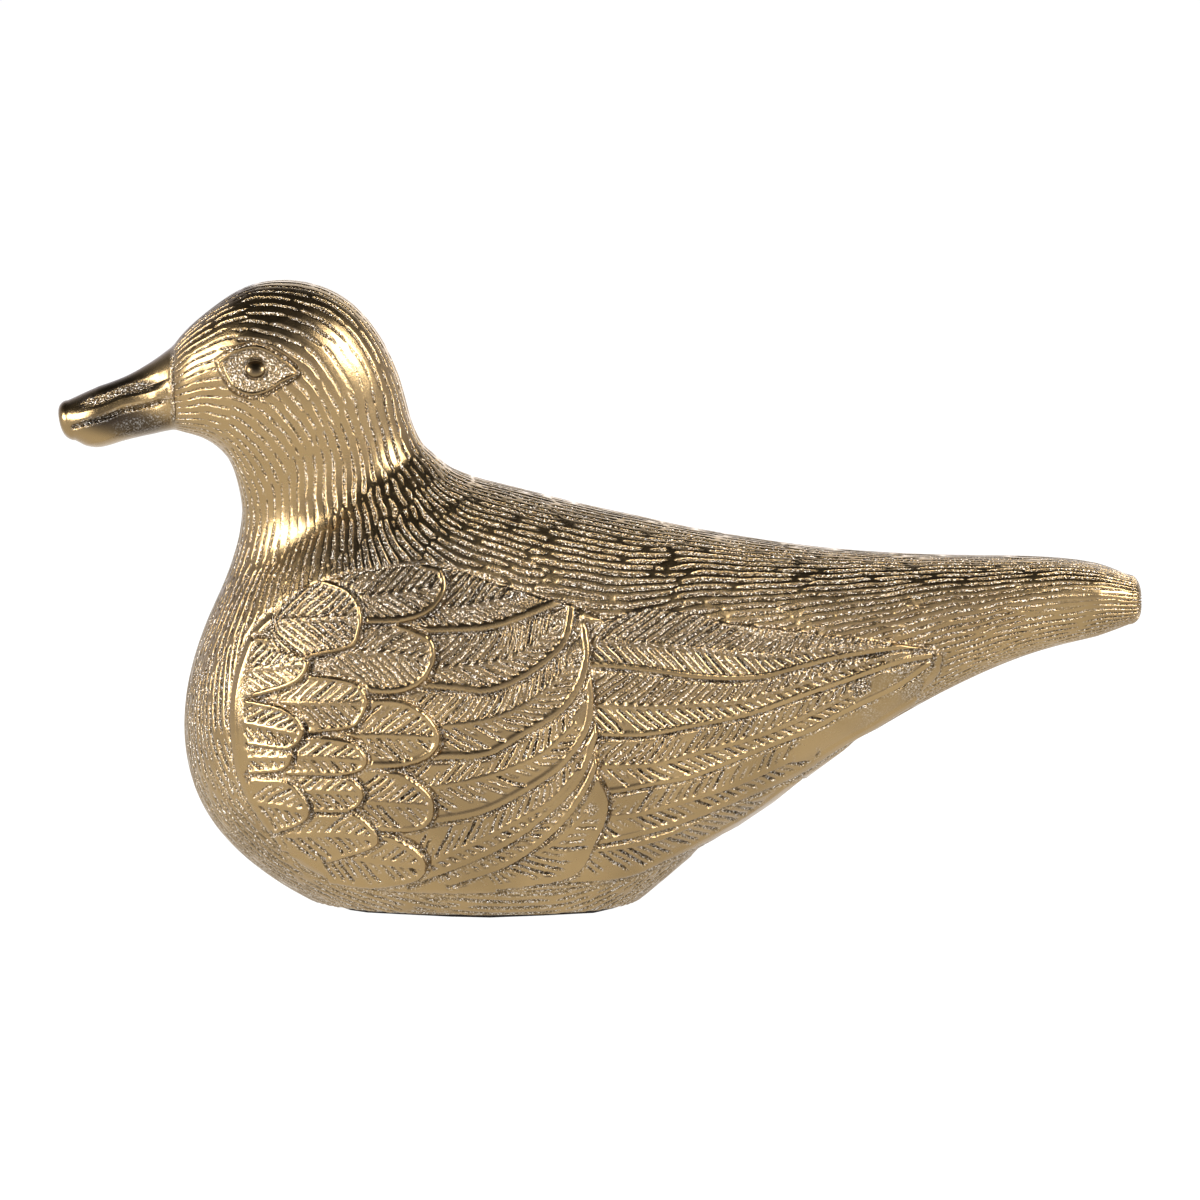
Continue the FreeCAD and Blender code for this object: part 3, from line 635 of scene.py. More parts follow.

# %% [markdown]
# ## Painted dark reflections
# The surfaces that look up mirror a dark ceiling, and those dark reflections are painted into the colour
# as well: behind the brow, in the shadow of the shoulder, along the top of the wing and under the bill.
# The dark places could be painted on a picture, but smooth spots worked out for each point need no
# picture file, and they follow the surface from every side. The strokes are settled in the same way:
# they end just before a feather.

# %% Where the strokes stop
# Millimetres from a feather or the mouth at which strokes begin, and over which they get their depth.
STROKE_START = 0.4
STROKE_MARGIN = 1.4

strokes[owner >= 0] = 0
strokes *= np.clip((cover - STROKE_START) / STROKE_MARGIN, 0, 1)
print("points in strokes:", int((strokes > 0.1).sum()))

# %% Where dark reflections are painted
# Middle and radii in pixels of the photograph, and how dark the painted dark reflection is.
PAINTED_DARK_SPOTS = [
    ((285, 328), (52, 24), 0.5),
    ((255, 367), (12, 10), 0.75),
    ((385, 552), (100, 32), 0.6),
    ((720, 586), (270, 26), 0.35),
    ((126, 423), (50, 12), 1.0),
    ((140, 386), (42, 10), 0.6),
]
# Pixels down between which the painted darkness of the upper feathers, which face the dark ceiling,
# ends. Their raised edges are left clear of it.
PAINTED_DARK_FEATHER_ROWS = (600, 740)
FEATHER_PAINTED_DARK = 0.5
CLEAR_EDGE = 0.9
CLEAR_EDGE_FADE = 0.4

# Painted dark reflection: on the upper feathers away from their edges, and in the listed spots.
painted_dark = np.interp(down_photo, PAINTED_DARK_FEATHER_ROWS, (FEATHER_PAINTED_DARK, 0))
painted_dark *= (owner >= 0) * np.clip((edge - CLEAR_EDGE) / CLEAR_EDGE_FADE, 0, 1)
for middle, radii, strength in PAINTED_DARK_SPOTS:
    away = (((pixel - middle) / radii) ** 2).sum(axis=-1)
    painted_dark = np.maximum(painted_dark, strength * np.exp(-(away**2)))
print("tarnished points:", int((painted_dark > 0.1).sum()))


# %% Softening what has steps
def softened(field):
    """The same field with each point blended with its neighbours, so that steps have no saw teeth."""
    for axis in (0, 1):
        lines = np.moveaxis(field, axis, 0)
        lines = np.concatenate([lines[:1], lines, lines[-1:]])
        field = np.moveaxis(0.25 * lines[:-2] + 0.5 * lines[1:-1] + 0.25 * lines[2:], 0, axis)
    return field


lift = softened(softened(lift))
form = softened(form)
strokes = softened(strokes)
raw = softened(softened(raw))
painted_dark = softened(softened(painted_dark))
print("highest feather:", round(float(lift.max()), 2), "mm")

# %% [markdown]
# ## Two Geometry Nodes trees that carve
# The carver worked with a few chisels and one habit of hand for each kind of mark. The marks could be
# modelled one by one, but carving by rule suits Geometry Nodes: the same small sum is done for each
# point of a dense skin, and its sizes stay named inputs. One tree cuts the strokes. The other raises the
# feathers, their smooth edges and quills, and cuts the barbs and the shadow under each edge. Both move a
# point straight out or in, and note how deep in a groove it is, because the grooves keep the rough skin
# of the sand mould.

# %% Helpers for node trees
# Waves to the metre of the grain in the grooves, which is about 0.8 mm across.
GRAIN_WAVES = 1200.0


def add_node(tree, kind, inputs=None, **settings):
    """Adds a node, sets its settings, and sets or links its inputs."""
    made = tree.nodes.new(kind)
    for name, value in settings.items():
        setattr(made, name, value)
    for key, value in (inputs or {}).items():
        if isinstance(value, bpy.types.NodeSocket):
            tree.links.new(value, made.inputs[key])
        else:
            made.inputs[key].default_value = value
    return made


def work_out(tree, known, lines):
    """Adds a sum for each line of a table: its name, what it does, and up to three values it uses."""
    for name, operation, *parts in lines:
        inputs = {index: known.get(part, part) for index, part in enumerate(parts)}
        known[name] = add_node(tree, "ShaderNodeMath", inputs, operation=operation).outputs[0]


def ramps(tree, known, lines):
    """Adds a soft ramp for each line of a table: its name, what it follows, from, to, and both ends."""
    for name, *parts in lines:
        labels = ("Value", "From Min", "From Max", "To Min", "To Max")
        inputs = {label: known.get(part, part) for label, part in zip(labels, parts)}
        made = add_node(tree, "ShaderNodeMapRange", inputs, interpolation_type="SMOOTHSTEP")
        known[name] = made.outputs[0]


def chance(tree, known, name, low, high, drawn_by):
    """Adds a random number between two values, one for each value of the sum that drawn_by names."""
    inputs = {2: low, 3: high, "ID": known[drawn_by], "Seed": known["Seed"]}
    known[name] = add_node(tree, "FunctionNodeRandomValue", inputs, data_type="FLOAT").outputs[1]


def carving_tree(name, sizes, attributes, wobble_waves):
    """A new tree with named sizes. Gives the tree and a dictionary of what its sums can use."""
    tree = bpy.data.node_groups.new(name, "GeometryNodeTree")
    tree.interface.new_socket("Geometry", in_out="INPUT", socket_type="NodeSocketGeometry")
    tree.interface.new_socket("Geometry", in_out="OUTPUT", socket_type="NodeSocketGeometry")
    for size in sizes:
        kind = "NodeSocketInt" if size == "Seed" else "NodeSocketFloat"
        tree.interface.new_socket(size, in_out="INPUT", socket_type=kind)
    tree.interface.new_socket("Metal", in_out="INPUT", socket_type="NodeSocketMaterial")
    entry = add_node(tree, "NodeGroupInput")
    known = {socket.name: socket for socket in entry.outputs if socket.name}
    for attribute in attributes:
        read = add_node(tree, "GeometryNodeInputNamedAttribute", {"Name": attribute}, data_type="FLOAT")
        known[attribute] = read.outputs[0]
    spot = add_node(tree, "GeometryNodeInputPosition").outputs[0]
    for noise, waves, detail in (("wobble", wobble_waves, 2.0), ("grain", GRAIN_WAVES, 1.0)):
        inputs = {"Vector": spot, "Scale": waves, "Detail": detail}
        known[noise] = add_node(tree, "ShaderNodeTexNoise", inputs).outputs[0]
    return tree, known


def finish_carving(tree, known):
    """Moves the points out by the sum named height, keeps the sum named recess, and sets the metal."""
    way = add_node(tree, "GeometryNodeInputNamedAttribute", {"Name": "outward"}, data_type="FLOAT_VECTOR")
    work_out(tree, known, [("metres", "MULTIPLY", "height", METRES)])
    scaled = {0: way.outputs[0], "Scale": known["metres"]}
    move = add_node(tree, "ShaderNodeVectorMath", scaled, operation="SCALE")
    step = known["Geometry"]
    for kind, inputs, settings in (
        ("GeometryNodeSetPosition", {"Offset": move.outputs[0]}, {}),
        ("GeometryNodeStoreNamedAttribute", {"Name": "recess", "Value": known["recess_now"]},
         {"data_type": "FLOAT", "domain": "POINT"}),
        ("GeometryNodeRealizeInstances", {}, {}),
        ("GeometryNodeSetMaterial", {"Material": known["Metal"]}, {}),
    ):
        step = add_node(tree, kind, {"Geometry": step, **inputs}, **settings).outputs[0]
    add_node(tree, "NodeGroupOutput", {"Geometry": step})


print("grain:", round(1 / (GRAIN_WAVES * METRES), 1), "mm across")

# %% The tree that cuts strokes
# In mm, or as shares. The hand wobbles about every 17 mm.
STROKE_WOBBLE_WAVES = 60.0
STROKE_SIZES = {
    "Stroke Length": 36.0,
    "Stroke Gap": 0.7,
    "End Taper": 3.2,
    "Wall Share": 0.2,
    "Groove Depth": 0.45,
    "Hand Wobble": 1.5,
    "Grain Height": 0.3,
    "Seed": 7,
}
stroke_tree, sums = carving_tree(
    "carved_strokes", STROKE_SIZES, ["across", "along", "strokes", "open"], STROKE_WOBBLE_WAVES
)
# Which stroke a point is on, and how far it is from the stroke's middle line.
work_out(stroke_tree, sums, [
    ("swing", "SUBTRACT", "wobble", 0.5),
    ("line", "MULTIPLY_ADD", "swing", "Hand Wobble", "across"),
    ("row", "FLOOR", "line"),
    ("in_row", "SUBTRACT", "line", "row"),
    ("off_middle", "SUBTRACT", "in_row", 0.5),
    ("aside", "ABSOLUTE", "off_middle"),
    ("cycle", "ADD", "Stroke Length", "Stroke Gap"),
])
chance(stroke_tree, sums, "stagger", 0.0, 1.0, "row")
# Each row of strokes is shifted by its own random share of a stroke. How wide the stroke is here.
work_out(stroke_tree, sums, [
    ("shifted", "MULTIPLY_ADD", "stagger", "cycle", "along"),
    ("turns", "DIVIDE", "shifted", "cycle"),
    ("which", "FLOOR", "turns"),
    ("part", "SUBTRACT", "turns", "which"),
    ("into", "MULTIPLY", "part", "cycle"),
    ("ahead", "SUBTRACT", "Stroke Length", "into"),
    ("to_end", "MINIMUM", "into", "ahead"),
    ("tapering", "DIVIDE", "to_end", "End Taper"),
    ("not_below", "MAXIMUM", "tapering", 0.0),
    ("not_above", "MINIMUM", "not_below", 1.0),
    ("rounded", "SQRT", "not_above"),
    ("half_share", "MULTIPLY", "open", 0.5),
    ("half_width", "MULTIPLY", "half_share", "rounded"),
    ("from_wall", "SUBTRACT", "half_width", "aside"),
    ("stroke_name", "MULTIPLY_ADD", "which", 131.0, "row"),
])
ramps(stroke_tree, sums, [("groove", "from_wall", 0.0, "Wall Share", 0.0, 1.0)])
chance(stroke_tree, sums, "pressed", 0.7, 1.15, "stroke_name")
work_out(stroke_tree, sums, [
    ("recess_now", "MULTIPLY", "groove", "strokes"),
    ("pressed_depth", "MULTIPLY", "pressed", "Groove Depth"),
    ("cut", "MULTIPLY", "pressed_depth", "recess_now"),
    ("grit", "SUBTRACT", "grain", 0.5),
    ("grit_height", "MULTIPLY", "grit", "Grain Height"),
    ("grit_here", "MULTIPLY", "grit_height", "recess_now"),
    ("height", "SUBTRACT", "grit_here", "cut"),
])
finish_carving(stroke_tree, sums)
print("stroke tree:", len(stroke_tree.nodes), "nodes")

# %% The tree that carves feathers
# In mm, or as shares. The hand wobbles about every 8 mm here.
FEATHER_WOBBLE_WAVES = 130.0
FEATHER_SIZES = {
    "Edge Height": 0.45,
    "Quill Width": 1.6,
    "Quill Height": 0.3,
    "Barb Pitch": 2.8,
    "Barb Slant": 1.2,
    "Barb Share": 0.6,
    "Barb Depth": 0.55,
    "Shortest Barb": 3.0,
    "Barb Spread": 6.0,
    "Shadow Width": 1.5,
    "Shadow Depth": 0.85,
    "Hand Wobble": 2.2,
    "Grain Height": 0.3,
    "Seed": 3,
}
feather_tree, sums = carving_tree(
    "carved_feathers", FEATHER_SIZES,
    ["feather", "lift", "form", "edge", "cover", "shaft", "vane", "barbs", "raw", "recess"],
    FEATHER_WOBBLE_WAVES,
)
work_out(feather_tree, sums, [
    ("beside", "ABSOLUTE", "vane"),
    ("swing", "SUBTRACT", "wobble", 0.5),
    ("swung", "MULTIPLY_ADD", "swing", "Hand Wobble", "shaft"),
    ("slant", "MULTIPLY", "beside", "Barb Slant"),
    ("slanted", "SUBTRACT", "swung", "slant"),
    ("barb_turns", "DIVIDE", "slanted", "Barb Pitch"),
    ("barb_part", "FRACT", "barb_turns"),
    ("barb_off", "SUBTRACT", "barb_part", 0.5),
    ("barb_aside", "ABSOLUTE", "barb_off"),
    ("half_barb", "MULTIPLY", "Barb Share", 0.5),
    ("barb_wall", "SUBTRACT", "half_barb", "barb_aside"),
    ("barb_row", "FLOOR", "barb_turns"),
    ("which_side", "SIGN", "vane"),
    ("on_side", "MULTIPLY_ADD", "which_side", 500.0, "barb_row"),
    ("barb_name", "MULTIPLY_ADD", "feather", 37.0, "on_side"),
    ("quill_inner", "MULTIPLY", "Quill Width", 0.3),
    ("quill_outer", "MULTIPLY", "Quill Width", 0.65),
    ("shadow_inner", "MULTIPLY", "Shadow Width", 0.35),
])
chance(feather_tree, sums, "luck", 0.0, 1.0, "barb_name")
work_out(feather_tree, sums, [
    ("long_luck", "MULTIPLY_ADD", "raw", 2.0, "luck"),
    ("barb_end", "MULTIPLY_ADD", "long_luck", "Barb Spread", "Shortest Barb"),
    ("before_end", "SUBTRACT", "barb_end", "beside"),
    ("pressed", "MULTIPLY_ADD", "luck", 0.75, 0.35),
])
ramps(feather_tree, sums, [
    ("long_enough", "before_end", -0.5, 0.8, 0.0, 1.0),
    ("in_barb", "barb_wall", 0.0, 0.16, 0.0, 1.0),
    ("smooth_edge", "edge", 0.75, 1.2, 1.0, 0.0),
    ("quill", "beside", "quill_inner", "quill_outer", 1.0, 0.0),
    ("shadow", "cover", "shadow_inner", "Shadow Width", 1.0, 0.0),
])
# The shadow under an edge is cut unevenly, from a quarter of its depth to all of it. On a raw feather
# the barbs are rough and a fifth of that roughness is left between them.
work_out(feather_tree, sums, [
    ("inner", "SUBTRACT", 1.0, "smooth_edge"),
    ("lit", "SUBTRACT", 1.0, "shadow"),
    ("no_quill", "SUBTRACT", 1.0, "quill"),
    ("uneven", "MULTIPLY_ADD", "wobble", 2.4, -0.5),
    ("uneven_low", "MAXIMUM", "uneven", 0.25),
    ("uneven_cut", "MINIMUM", "uneven_low", 1.0),
    ("shadow_cut", "MULTIPLY", "shadow", "uneven_cut"),
    ("open", "MULTIPLY", "inner", "lit"),
    ("plumed", "MULTIPLY", "open", "barbs"),
    ("barb_room", "MULTIPLY", "plumed", "no_quill"),
    ("barb_length", "MULTIPLY", "barb_room", "long_enough"),
    ("barb_there", "MULTIPLY", "in_barb", "barb_length"),
    ("barb", "MULTIPLY", "barb_there", "pressed"),
    ("no_barbs", "SUBTRACT", 1.0, "barbs"),
    ("between_barbs", "MULTIPLY_ADD", "in_barb", 0.8, 0.2),
    ("raw_share", "MAXIMUM", "between_barbs", "no_barbs"),
    ("raw_inner", "MULTIPLY", "raw", "inner"),
    ("raw_here", "MULTIPLY", "raw_inner", "raw_share"),
    ("quill_here", "MULTIPLY", "quill", "plumed"),
    ("raised", "ADD", "lift", "form"),
    ("edge_high", "MULTIPLY_ADD", "smooth_edge", "Edge Height", "raised"),
    ("quill_high", "MULTIPLY_ADD", "quill_here", "Quill Height", "edge_high"),
    ("barb_low", "MULTIPLY", "barb", "Barb Depth"),
    ("after_barbs", "SUBTRACT", "quill_high", "barb_low"),
    ("shadow_low", "MULTIPLY", "shadow_cut", "Shadow Depth"),
    ("after_shadow", "SUBTRACT", "after_barbs", "shadow_low"),
    ("carved_rough", "MAXIMUM", "shadow_cut", "barb"),
    ("rough", "MAXIMUM", "carved_rough", "raw_here"),
    ("recess_now", "MAXIMUM", "rough", "recess"),
    ("grit", "SUBTRACT", "grain", 0.5),
    ("grit_height", "MULTIPLY", "grit", "Grain Height"),
    ("height", "MULTIPLY_ADD", "grit_height", "rough", "after_shadow"),
])
finish_carving(feather_tree, sums)
print("feather tree:", len(feather_tree.nodes), "nodes")

# %% [markdown]
# ## The metal
# The figure is sand-cast yellow brass, brushed and lightly tarnished to a pale tan. What is polished
# shows the room like a soft mirror. What lies in the grooves was never touched by a tool after casting:
# it has the grit of the moulding sand, about half a millimetre across, and sparkles where a grain faces
# a lamp, and near-white glints are painted on its grains too. Where it is rough could be painted by hand,
# but the carving knows it better: the roughness, the grit, the painted glints and a little dirt with
# painted shade all follow the recess noted there. Dark reflections of the ceiling are painted on as well.

# %% Cast brass
def linear(colour):
    """The linear colour of an sRGB hex value, with alpha."""
    parts = [int(colour[start : start + 2], 16) / 255 for start in (1, 3, 5)]
    curved = [part / 12.92 if part <= 0.04045 else ((part + 0.055) / 1.055) ** 2.4 for part in parts]
    return curved + [1.0]


# What both metals share: painted dark reflections, painted glints on the grain, and dirt with painted shade
# between its grains.
PAINTED_DARK_COLOUR = "#4A3F31"
PAINTED_GLINT = "#F6F3EE"
DIRT_AND_PAINTED_SHADE = "#2B2721"


def brass(name, polished, cloudy):
    """Sand-cast brass, polished on top and gritty in its grooves: painted glints on the grains, dirt and
    painted shade in the pits between.
    """
    material = bpy.data.materials.new(name)
    material.use_nodes = True
    tree = material.node_tree
    shader = tree.nodes["Principled BSDF"]
    place_in = add_node(tree, "ShaderNodeTexCoord").outputs["Object"]
    known = {}
    # The recess from the carving, and where dark reflections are painted.
    for trait in ("recess", "painted_dark"):
        known[trait] = add_node(tree, "ShaderNodeAttribute", attribute_name=trait).outputs["Fac"]
    # Tarnish clouds 25 mm across, rubbed streaks 3 mm across, and moulding grit. The grit is 0.45 mm
    # in the real casting and is drawn at 0.53 mm, because a finer one is lost between the pixels.
    for noise, waves, detail, roughness in (
        ("clouds", 40.0, 3.0, 0.5), ("rubbed", 330.0, 3.0, 0.5), ("grit", 1900.0, 2.0, 0.7),
    ):
        inputs = {"Vector": place_in, "Scale": waves, "Detail": detail, "Roughness": roughness}
        known[noise] = add_node(tree, "ShaderNodeTexNoise", inputs).outputs[0]
    # Where it is cloudy, the pits between the grains, and the spots where glints are painted: noise, from,
    # to, and how much.
    for result, noise, first, last, most in (
        ("cloudy", "clouds", 0.38, 0.64, 1.0), ("pits", "grit", 0.51, 0.41, 0.92),
        ("glint_spots", "grit", 0.53, 0.62, 1.0),
    ):
        inputs = {"Value": known[noise], "From Min": first, "From Max": last, "To Max": most}
        known[result] = add_node(tree, "ShaderNodeMapRange", inputs).outputs[0]
    # Polished brass is 0.18 to 0.34 rough, a touch less in the grooves, where the grains get painted glints
    # and the pits between them dirt with painted shade.
    work_out(tree, known, [
        ("dirt_and_shade", "MULTIPLY", "pits", "recess"),
        ("bright", "MULTIPLY", "glint_spots", "recess"),
        ("land", "MULTIPLY_ADD", "rubbed", 0.16, 0.18),
        ("in_groove", "MULTIPLY_ADD", "recess", -0.05, "land"),
        ("grit_strength", "MULTIPLY_ADD", "recess", 0.94, 0.05),
    ])
    colour = linear(polished)
    # Colour layers: random clouds, painted dark reflections, painted glints on the grain, and dirt with
    # painted shade in the pits.
    for where, layer in (
        ("cloudy", cloudy), ("painted_dark", PAINTED_DARK_COLOUR), ("bright", PAINTED_GLINT), ("dirt_and_shade", DIRT_AND_PAINTED_SHADE),
    ):
        inputs = {"Factor": known[where], 6: colour, 7: linear(layer)}
        colour = add_node(tree, "ShaderNodeMix", inputs, data_type="RGBA").outputs[2]
    inputs = {"Height": known["rubbed"], "Strength": 0.25, "Distance": 0.0002}
    brushed = add_node(tree, "ShaderNodeBump", inputs).outputs[0]
    inputs = {"Height": known["grit"], "Strength": known["grit_strength"], "Distance": 0.0014}
    inputs["Normal"] = brushed
    grainy = add_node(tree, "ShaderNodeBump", inputs).outputs[0]
    for socket, value in (("Base Color", colour), ("Roughness", known["in_groove"]), ("Normal", grainy)):
        tree.links.new(value, shader.inputs[socket])
    shader.inputs["Metallic"].default_value = 1.0
    return material


# The figure, and the brazing brass of its seam, which is a little yellower.
cast_brass = brass("cast_brass", "#A0875F", "#907955")
braze_metal = brass("braze", "#A38A62", "#927B56")
print("metals:", cast_brass.name, braze_metal.name)

# %% [markdown]
# ## The felt
# A thin pad of felt is glued under the sole, so that the heavy brass doesn't scratch a table. Only its
# edge shows, as a dark line. Its fibres could be grown as hair, but they are too fine to see in so thin
# a line. The CAD solid already has the right shape, so it stays and gets a material.

# %% Felt
# Black pressed wool felt: matt, with a faint bloom of loose fibres. The fibres are about 0.03 mm thick,
# too fine to show, so they are drawn ten times as coarse.
felt = bpy.data.materials.new("wool_felt")
felt.use_nodes = True
felt_tree = felt.node_tree
felt_shader = felt_tree.nodes["Principled BSDF"]
felt_place = add_node(felt_tree, "ShaderNodeTexCoord").outputs["Object"]
wool = {}
for noise, waves, detail in (("fibres", 3000.0, 4.0), ("tufts", 400.0, 2.0)):
    inputs = {"Vector": felt_place, "Scale": waves, "Detail": detail}
    wool[noise] = add_node(felt_tree, "ShaderNodeTexNoise", inputs).outputs[0]
inputs = {"Factor": wool["tufts"], 6: linear("#1E1B19"), 7: linear("#2C2825")}
felt_colour = add_node(felt_tree, "ShaderNodeMix", inputs, data_type="RGBA")
fuzz = add_node(felt_tree, "ShaderNodeBump", {"Height": wool["fibres"], "Strength": 0.7, "Distance": 0.0004})
felt_tree.links.new(felt_colour.outputs[2], felt_shader.inputs["Base Color"])
felt_tree.links.new(fuzz.outputs[0], felt_shader.inputs["Normal"])
for socket, value in (("Roughness", 0.95), ("Sheen Weight", 0.25), ("Sheen Roughness", 0.6)):
    felt_shader.inputs[socket].default_value = value
print("pad:", felt.name)

# %% [markdown]
# ## Carving the left half
# The sheet of points becomes one mesh, with a single corner where each end closes. It carries what was
# worked out as attributes and goes through both trees. They could stay live on each piece, but the
# pieces have to fit each other exactly, so the half is carved whole and read back as a plain mesh.

# %% The faces of the sheet
flat_skin = skin.reshape(-1, 3)
rows, columns = place.shape
numbers = np.arange(rows * columns).reshape(rows, columns)
numbers[0] = numbers[0, 0]
numbers[-1] = numbers[-1, 0]
quads = np.stack([numbers[:-1, :-1], numbers[:-1, 1:], numbers[1:, 1:], numbers[1:, :-1]], axis=-1)
first_fan = quads[0][:, [0, 2, 3]]
last_fan = quads[-1][:, [0, 1, 2]]
blank_faces = first_fan.tolist() + quads[1:-1].reshape(-1, 4).tolist() + last_fan.tolist()
print("blank:", len(blank_faces), "faces")


# %% The blank with its attributes
def plain_mesh(name, points, faces):
    """A mesh from points in metres and a list of faces."""
    mesh = bpy.data.meshes.new(name)
    mesh.from_pydata(points.tolist(), [], faces)
    mesh.polygons.foreach_set("use_smooth", np.ones(len(mesh.polygons), bool))
    return mesh


blank = plain_mesh("carving_blank", flat_skin * METRES, blank_faces)
fields = {
    "across": strokes_across, "along": strokes_along, "strokes": strokes, "open": groove_share,
    "feather": owner, "lift": lift, "form": form, "edge": edge, "cover": cover, "shaft": shaft,
    "vane": vane, "barbs": barbs, "raw": raw,
}
for name, field in fields.items():
    values = field.astype(np.float32).ravel()
    blank.attributes.new(name, "FLOAT", "POINT").data.foreach_set("value", values)
ways_out = outward.astype(np.float32).ravel()
blank.attributes.new("outward", "FLOAT_VECTOR", "POINT").data.foreach_set("vector", ways_out)
print("attributes:", ", ".join(fields), "and outward")

# %% Carve
block = bpy.data.objects.new("carving_blank", blank)
scene.collection.objects.link(block)
for tree, sizes in ((stroke_tree, STROKE_SIZES), (feather_tree, FEATHER_SIZES)):
    carving = block.modifiers.new(tree.name, "NODES")
    carving.node_group = tree
    for item in tree.interface.items_tree:
        if item.in_out == "INPUT" and item.name in sizes:
            carving[item.identifier] = sizes[item.name]
        elif item.in_out == "INPUT" and item.name == "Metal":
            carving[item.identifier] = cast_brass
depsgraph = bpy.context.evaluated_depsgraph_get()
carved = bpy.data.meshes.new_from_object(block.evaluated_get(depsgraph))
bpy.data.objects.remove(block)
print("carved half:", len(carved.vertices), "points,", len(carved.polygons), "faces")

# %% The carved half, read back
# Points on the middle plane stay on it, and their normals lie in it, so that both halves meet.
ON_MIDDLE = 1e-6
half_points = np.zeros(len(carved.vertices) * 3, np.float32)
carved.vertices.foreach_get("co", half_points)
half_points = half_points.reshape(-1, 3).astype(float)
half_points[:, 2] = np.maximum(half_points[:, 2], SOLE_HEIGHT * METRES)
half_recess = np.zeros(len(carved.vertices), np.float32)
carved.attributes["recess"].data.foreach_get("value", half_recess)
carved.vertices.foreach_set("co", half_points.astype(np.float32).ravel())
carved.update()
half_normals = np.zeros(len(carved.vertices) * 3, np.float32)
carved.vertices.foreach_get("normal", half_normals)
half_normals = half_normals.reshape(-1, 3).astype(float)
middle_line = np.abs(half_points[:, 1]) < ON_MIDDLE
half_normals[middle_line, 1] = 0
half_normals /= np.maximum(np.linalg.norm(half_normals, axis=1, keepdims=True), TINY)
half_points[middle_line, 1] = 0
print("on the middle plane:", int(middle_line.sum()), "points")

# %% [markdown]
# ## Cutting the skin into pieces
# The skin is taken apart along its own creases, so that each piece has a name that a maker would use,
# and no piece is too heavy. Booleans could cut it, but they leave slivers, and whole faces sorted by
# their place leave none. The narrow strip along the middle is the brazed seam. The right half is the
# left one mirrored, with its faces turned round so that they still look outwards.

# %% Which piece each point belongs to
# Rows of the body's table at which one piece ends and the next begins, and how far down the belly starts.
HEAD_END = 7.6
NECK_END = 11.6
BREAST_END = 14.6
TAIL_START = 20.3
BELLY_START = 0.52

# A point on no feather has owner -1, which picks the last kind.
kinds = np.array([kind for name, kind, *rest in FEATHERS] + ["bare"])
kind_of = kinds[owner].reshape(-1)
flat_place = place.reshape(-1)
pieces_of_skin = {
    "bill": flat_place < 0,
    "head": (flat_place >= 0) & (flat_place < HEAD_END),
    "neck": (flat_place >= HEAD_END) & (flat_place < NECK_END) & (kind_of == "bare"),
    "shoulder_feathers": np.isin(kind_of, ["lesser", "median", "covert"]),
    "secondary_feathers": kind_of == "secondary",
    "flight_feathers": kind_of == "primary",
    "tail": (flat_place >= TAIL_START) & np.isin(kind_of, ["bare", "wing"]),
}
left_over = ~np.any(list(pieces_of_skin.values()), axis=0)
lower = share.reshape(-1) > BELLY_START
front = flat_place < BREAST_END
pieces_of_skin["breast"] = left_over & front
pieces_of_skin["belly"] = left_over & ~front & lower
pieces_of_skin["back"] = left_over & ~front & ~lower
piece_of_point = np.full(len(flat_place), -1)
for index, member in enumerate(pieces_of_skin.values()):
    piece_of_point[member] = index
print("pieces on each side:", len(pieces_of_skin))


# %% Cutting
# Half the width of the seam, in mm.
SEAM_HALF = 1.5


def skin_piece(name, points, normals, traits, faces, metal):
    """One piece of skin as an object, with normals from the whole skin so that no join shows."""
    used, packed = np.unique(np.concatenate(faces), return_inverse=True)
    sizes = [len(face) for face in faces]
    starts = np.concatenate([[0], np.cumsum(sizes)])
    loops = [packed[start:end].tolist() for start, end in zip(starts, starts[1:])]
    mesh = plain_mesh(name, points[used], loops)
    for trait, values in traits.items():
        kept = values[used].astype(np.float32)
        mesh.attributes.new(trait, "FLOAT", "POINT").data.foreach_set("value", kept)
    mesh.normals_split_custom_set_from_vertices(normals[used].tolist())
    mesh.materials.append(metal)
    piece = bpy.data.objects.new(name, mesh)
    scene.collection.objects.link(piece)
    return piece


faces = [np.array(face) for face in blank_faces]
first_corner = np.array([face[0] for face in blank_faces])
on_seam = np.array([abs(flat_skin[face, 1]).max() for face in blank_faces]) < SEAM_HALF
# Each piece keeps its recess and its painted dark reflections as attributes for the metal.
half_traits = {"recess": half_recess, "painted_dark": painted_dark.ravel()}
mirror = np.array([1.0, -1.0, 1.0])
made = {}
for index, name in enumerate(pieces_of_skin):
    on_piece = (piece_of_point[first_corner] == index) & ~on_seam
    ours = [faces[number] for number in np.flatnonzero(on_piece)]
    for side, way, turned in (("left_", 1.0, ours), ("right_", mirror, [face[::-1] for face in ours])):
        made[side + name] = skin_piece(
            side + name, half_points * way, half_normals * way, half_traits, turned, cast_brass
        )
print("cut:", len(made), "pieces")

# %% The seam and the pad
strip = [faces[number] for number in np.flatnonzero(on_seam)]
both_points = np.vstack([half_points, half_points * mirror])
both_normals = np.vstack([half_normals, half_normals * mirror])
both_traits = {trait: np.tile(values, 2) for trait, values in half_traits.items()}
twin = np.arange(len(half_points)) + len(half_points)
twin[middle_line] = np.flatnonzero(middle_line)
both_faces = strip + [twin[face][::-1] for face in strip]
seam = skin_piece("dressed_seam", both_points, both_normals, both_traits, both_faces, braze_metal)
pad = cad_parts["felt_pad"]
pad.data.materials.clear()
pad.data.materials.append(felt)
print("seam:", len(both_faces), "faces")

# %% What each piece rides on, and the CAD part it hides
for name, piece in made.items():
    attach(piece, "root")
    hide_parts("left_casting" if name.startswith("left") else "right_casting")
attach(seam, "root")
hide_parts("brazed_seam")
for piece in list(made.values()) + [seam]:
    triangles = sum(len(face.vertices) - 2 for face in piece.data.polygons)
    print(piece.name, triangles, "triangles")

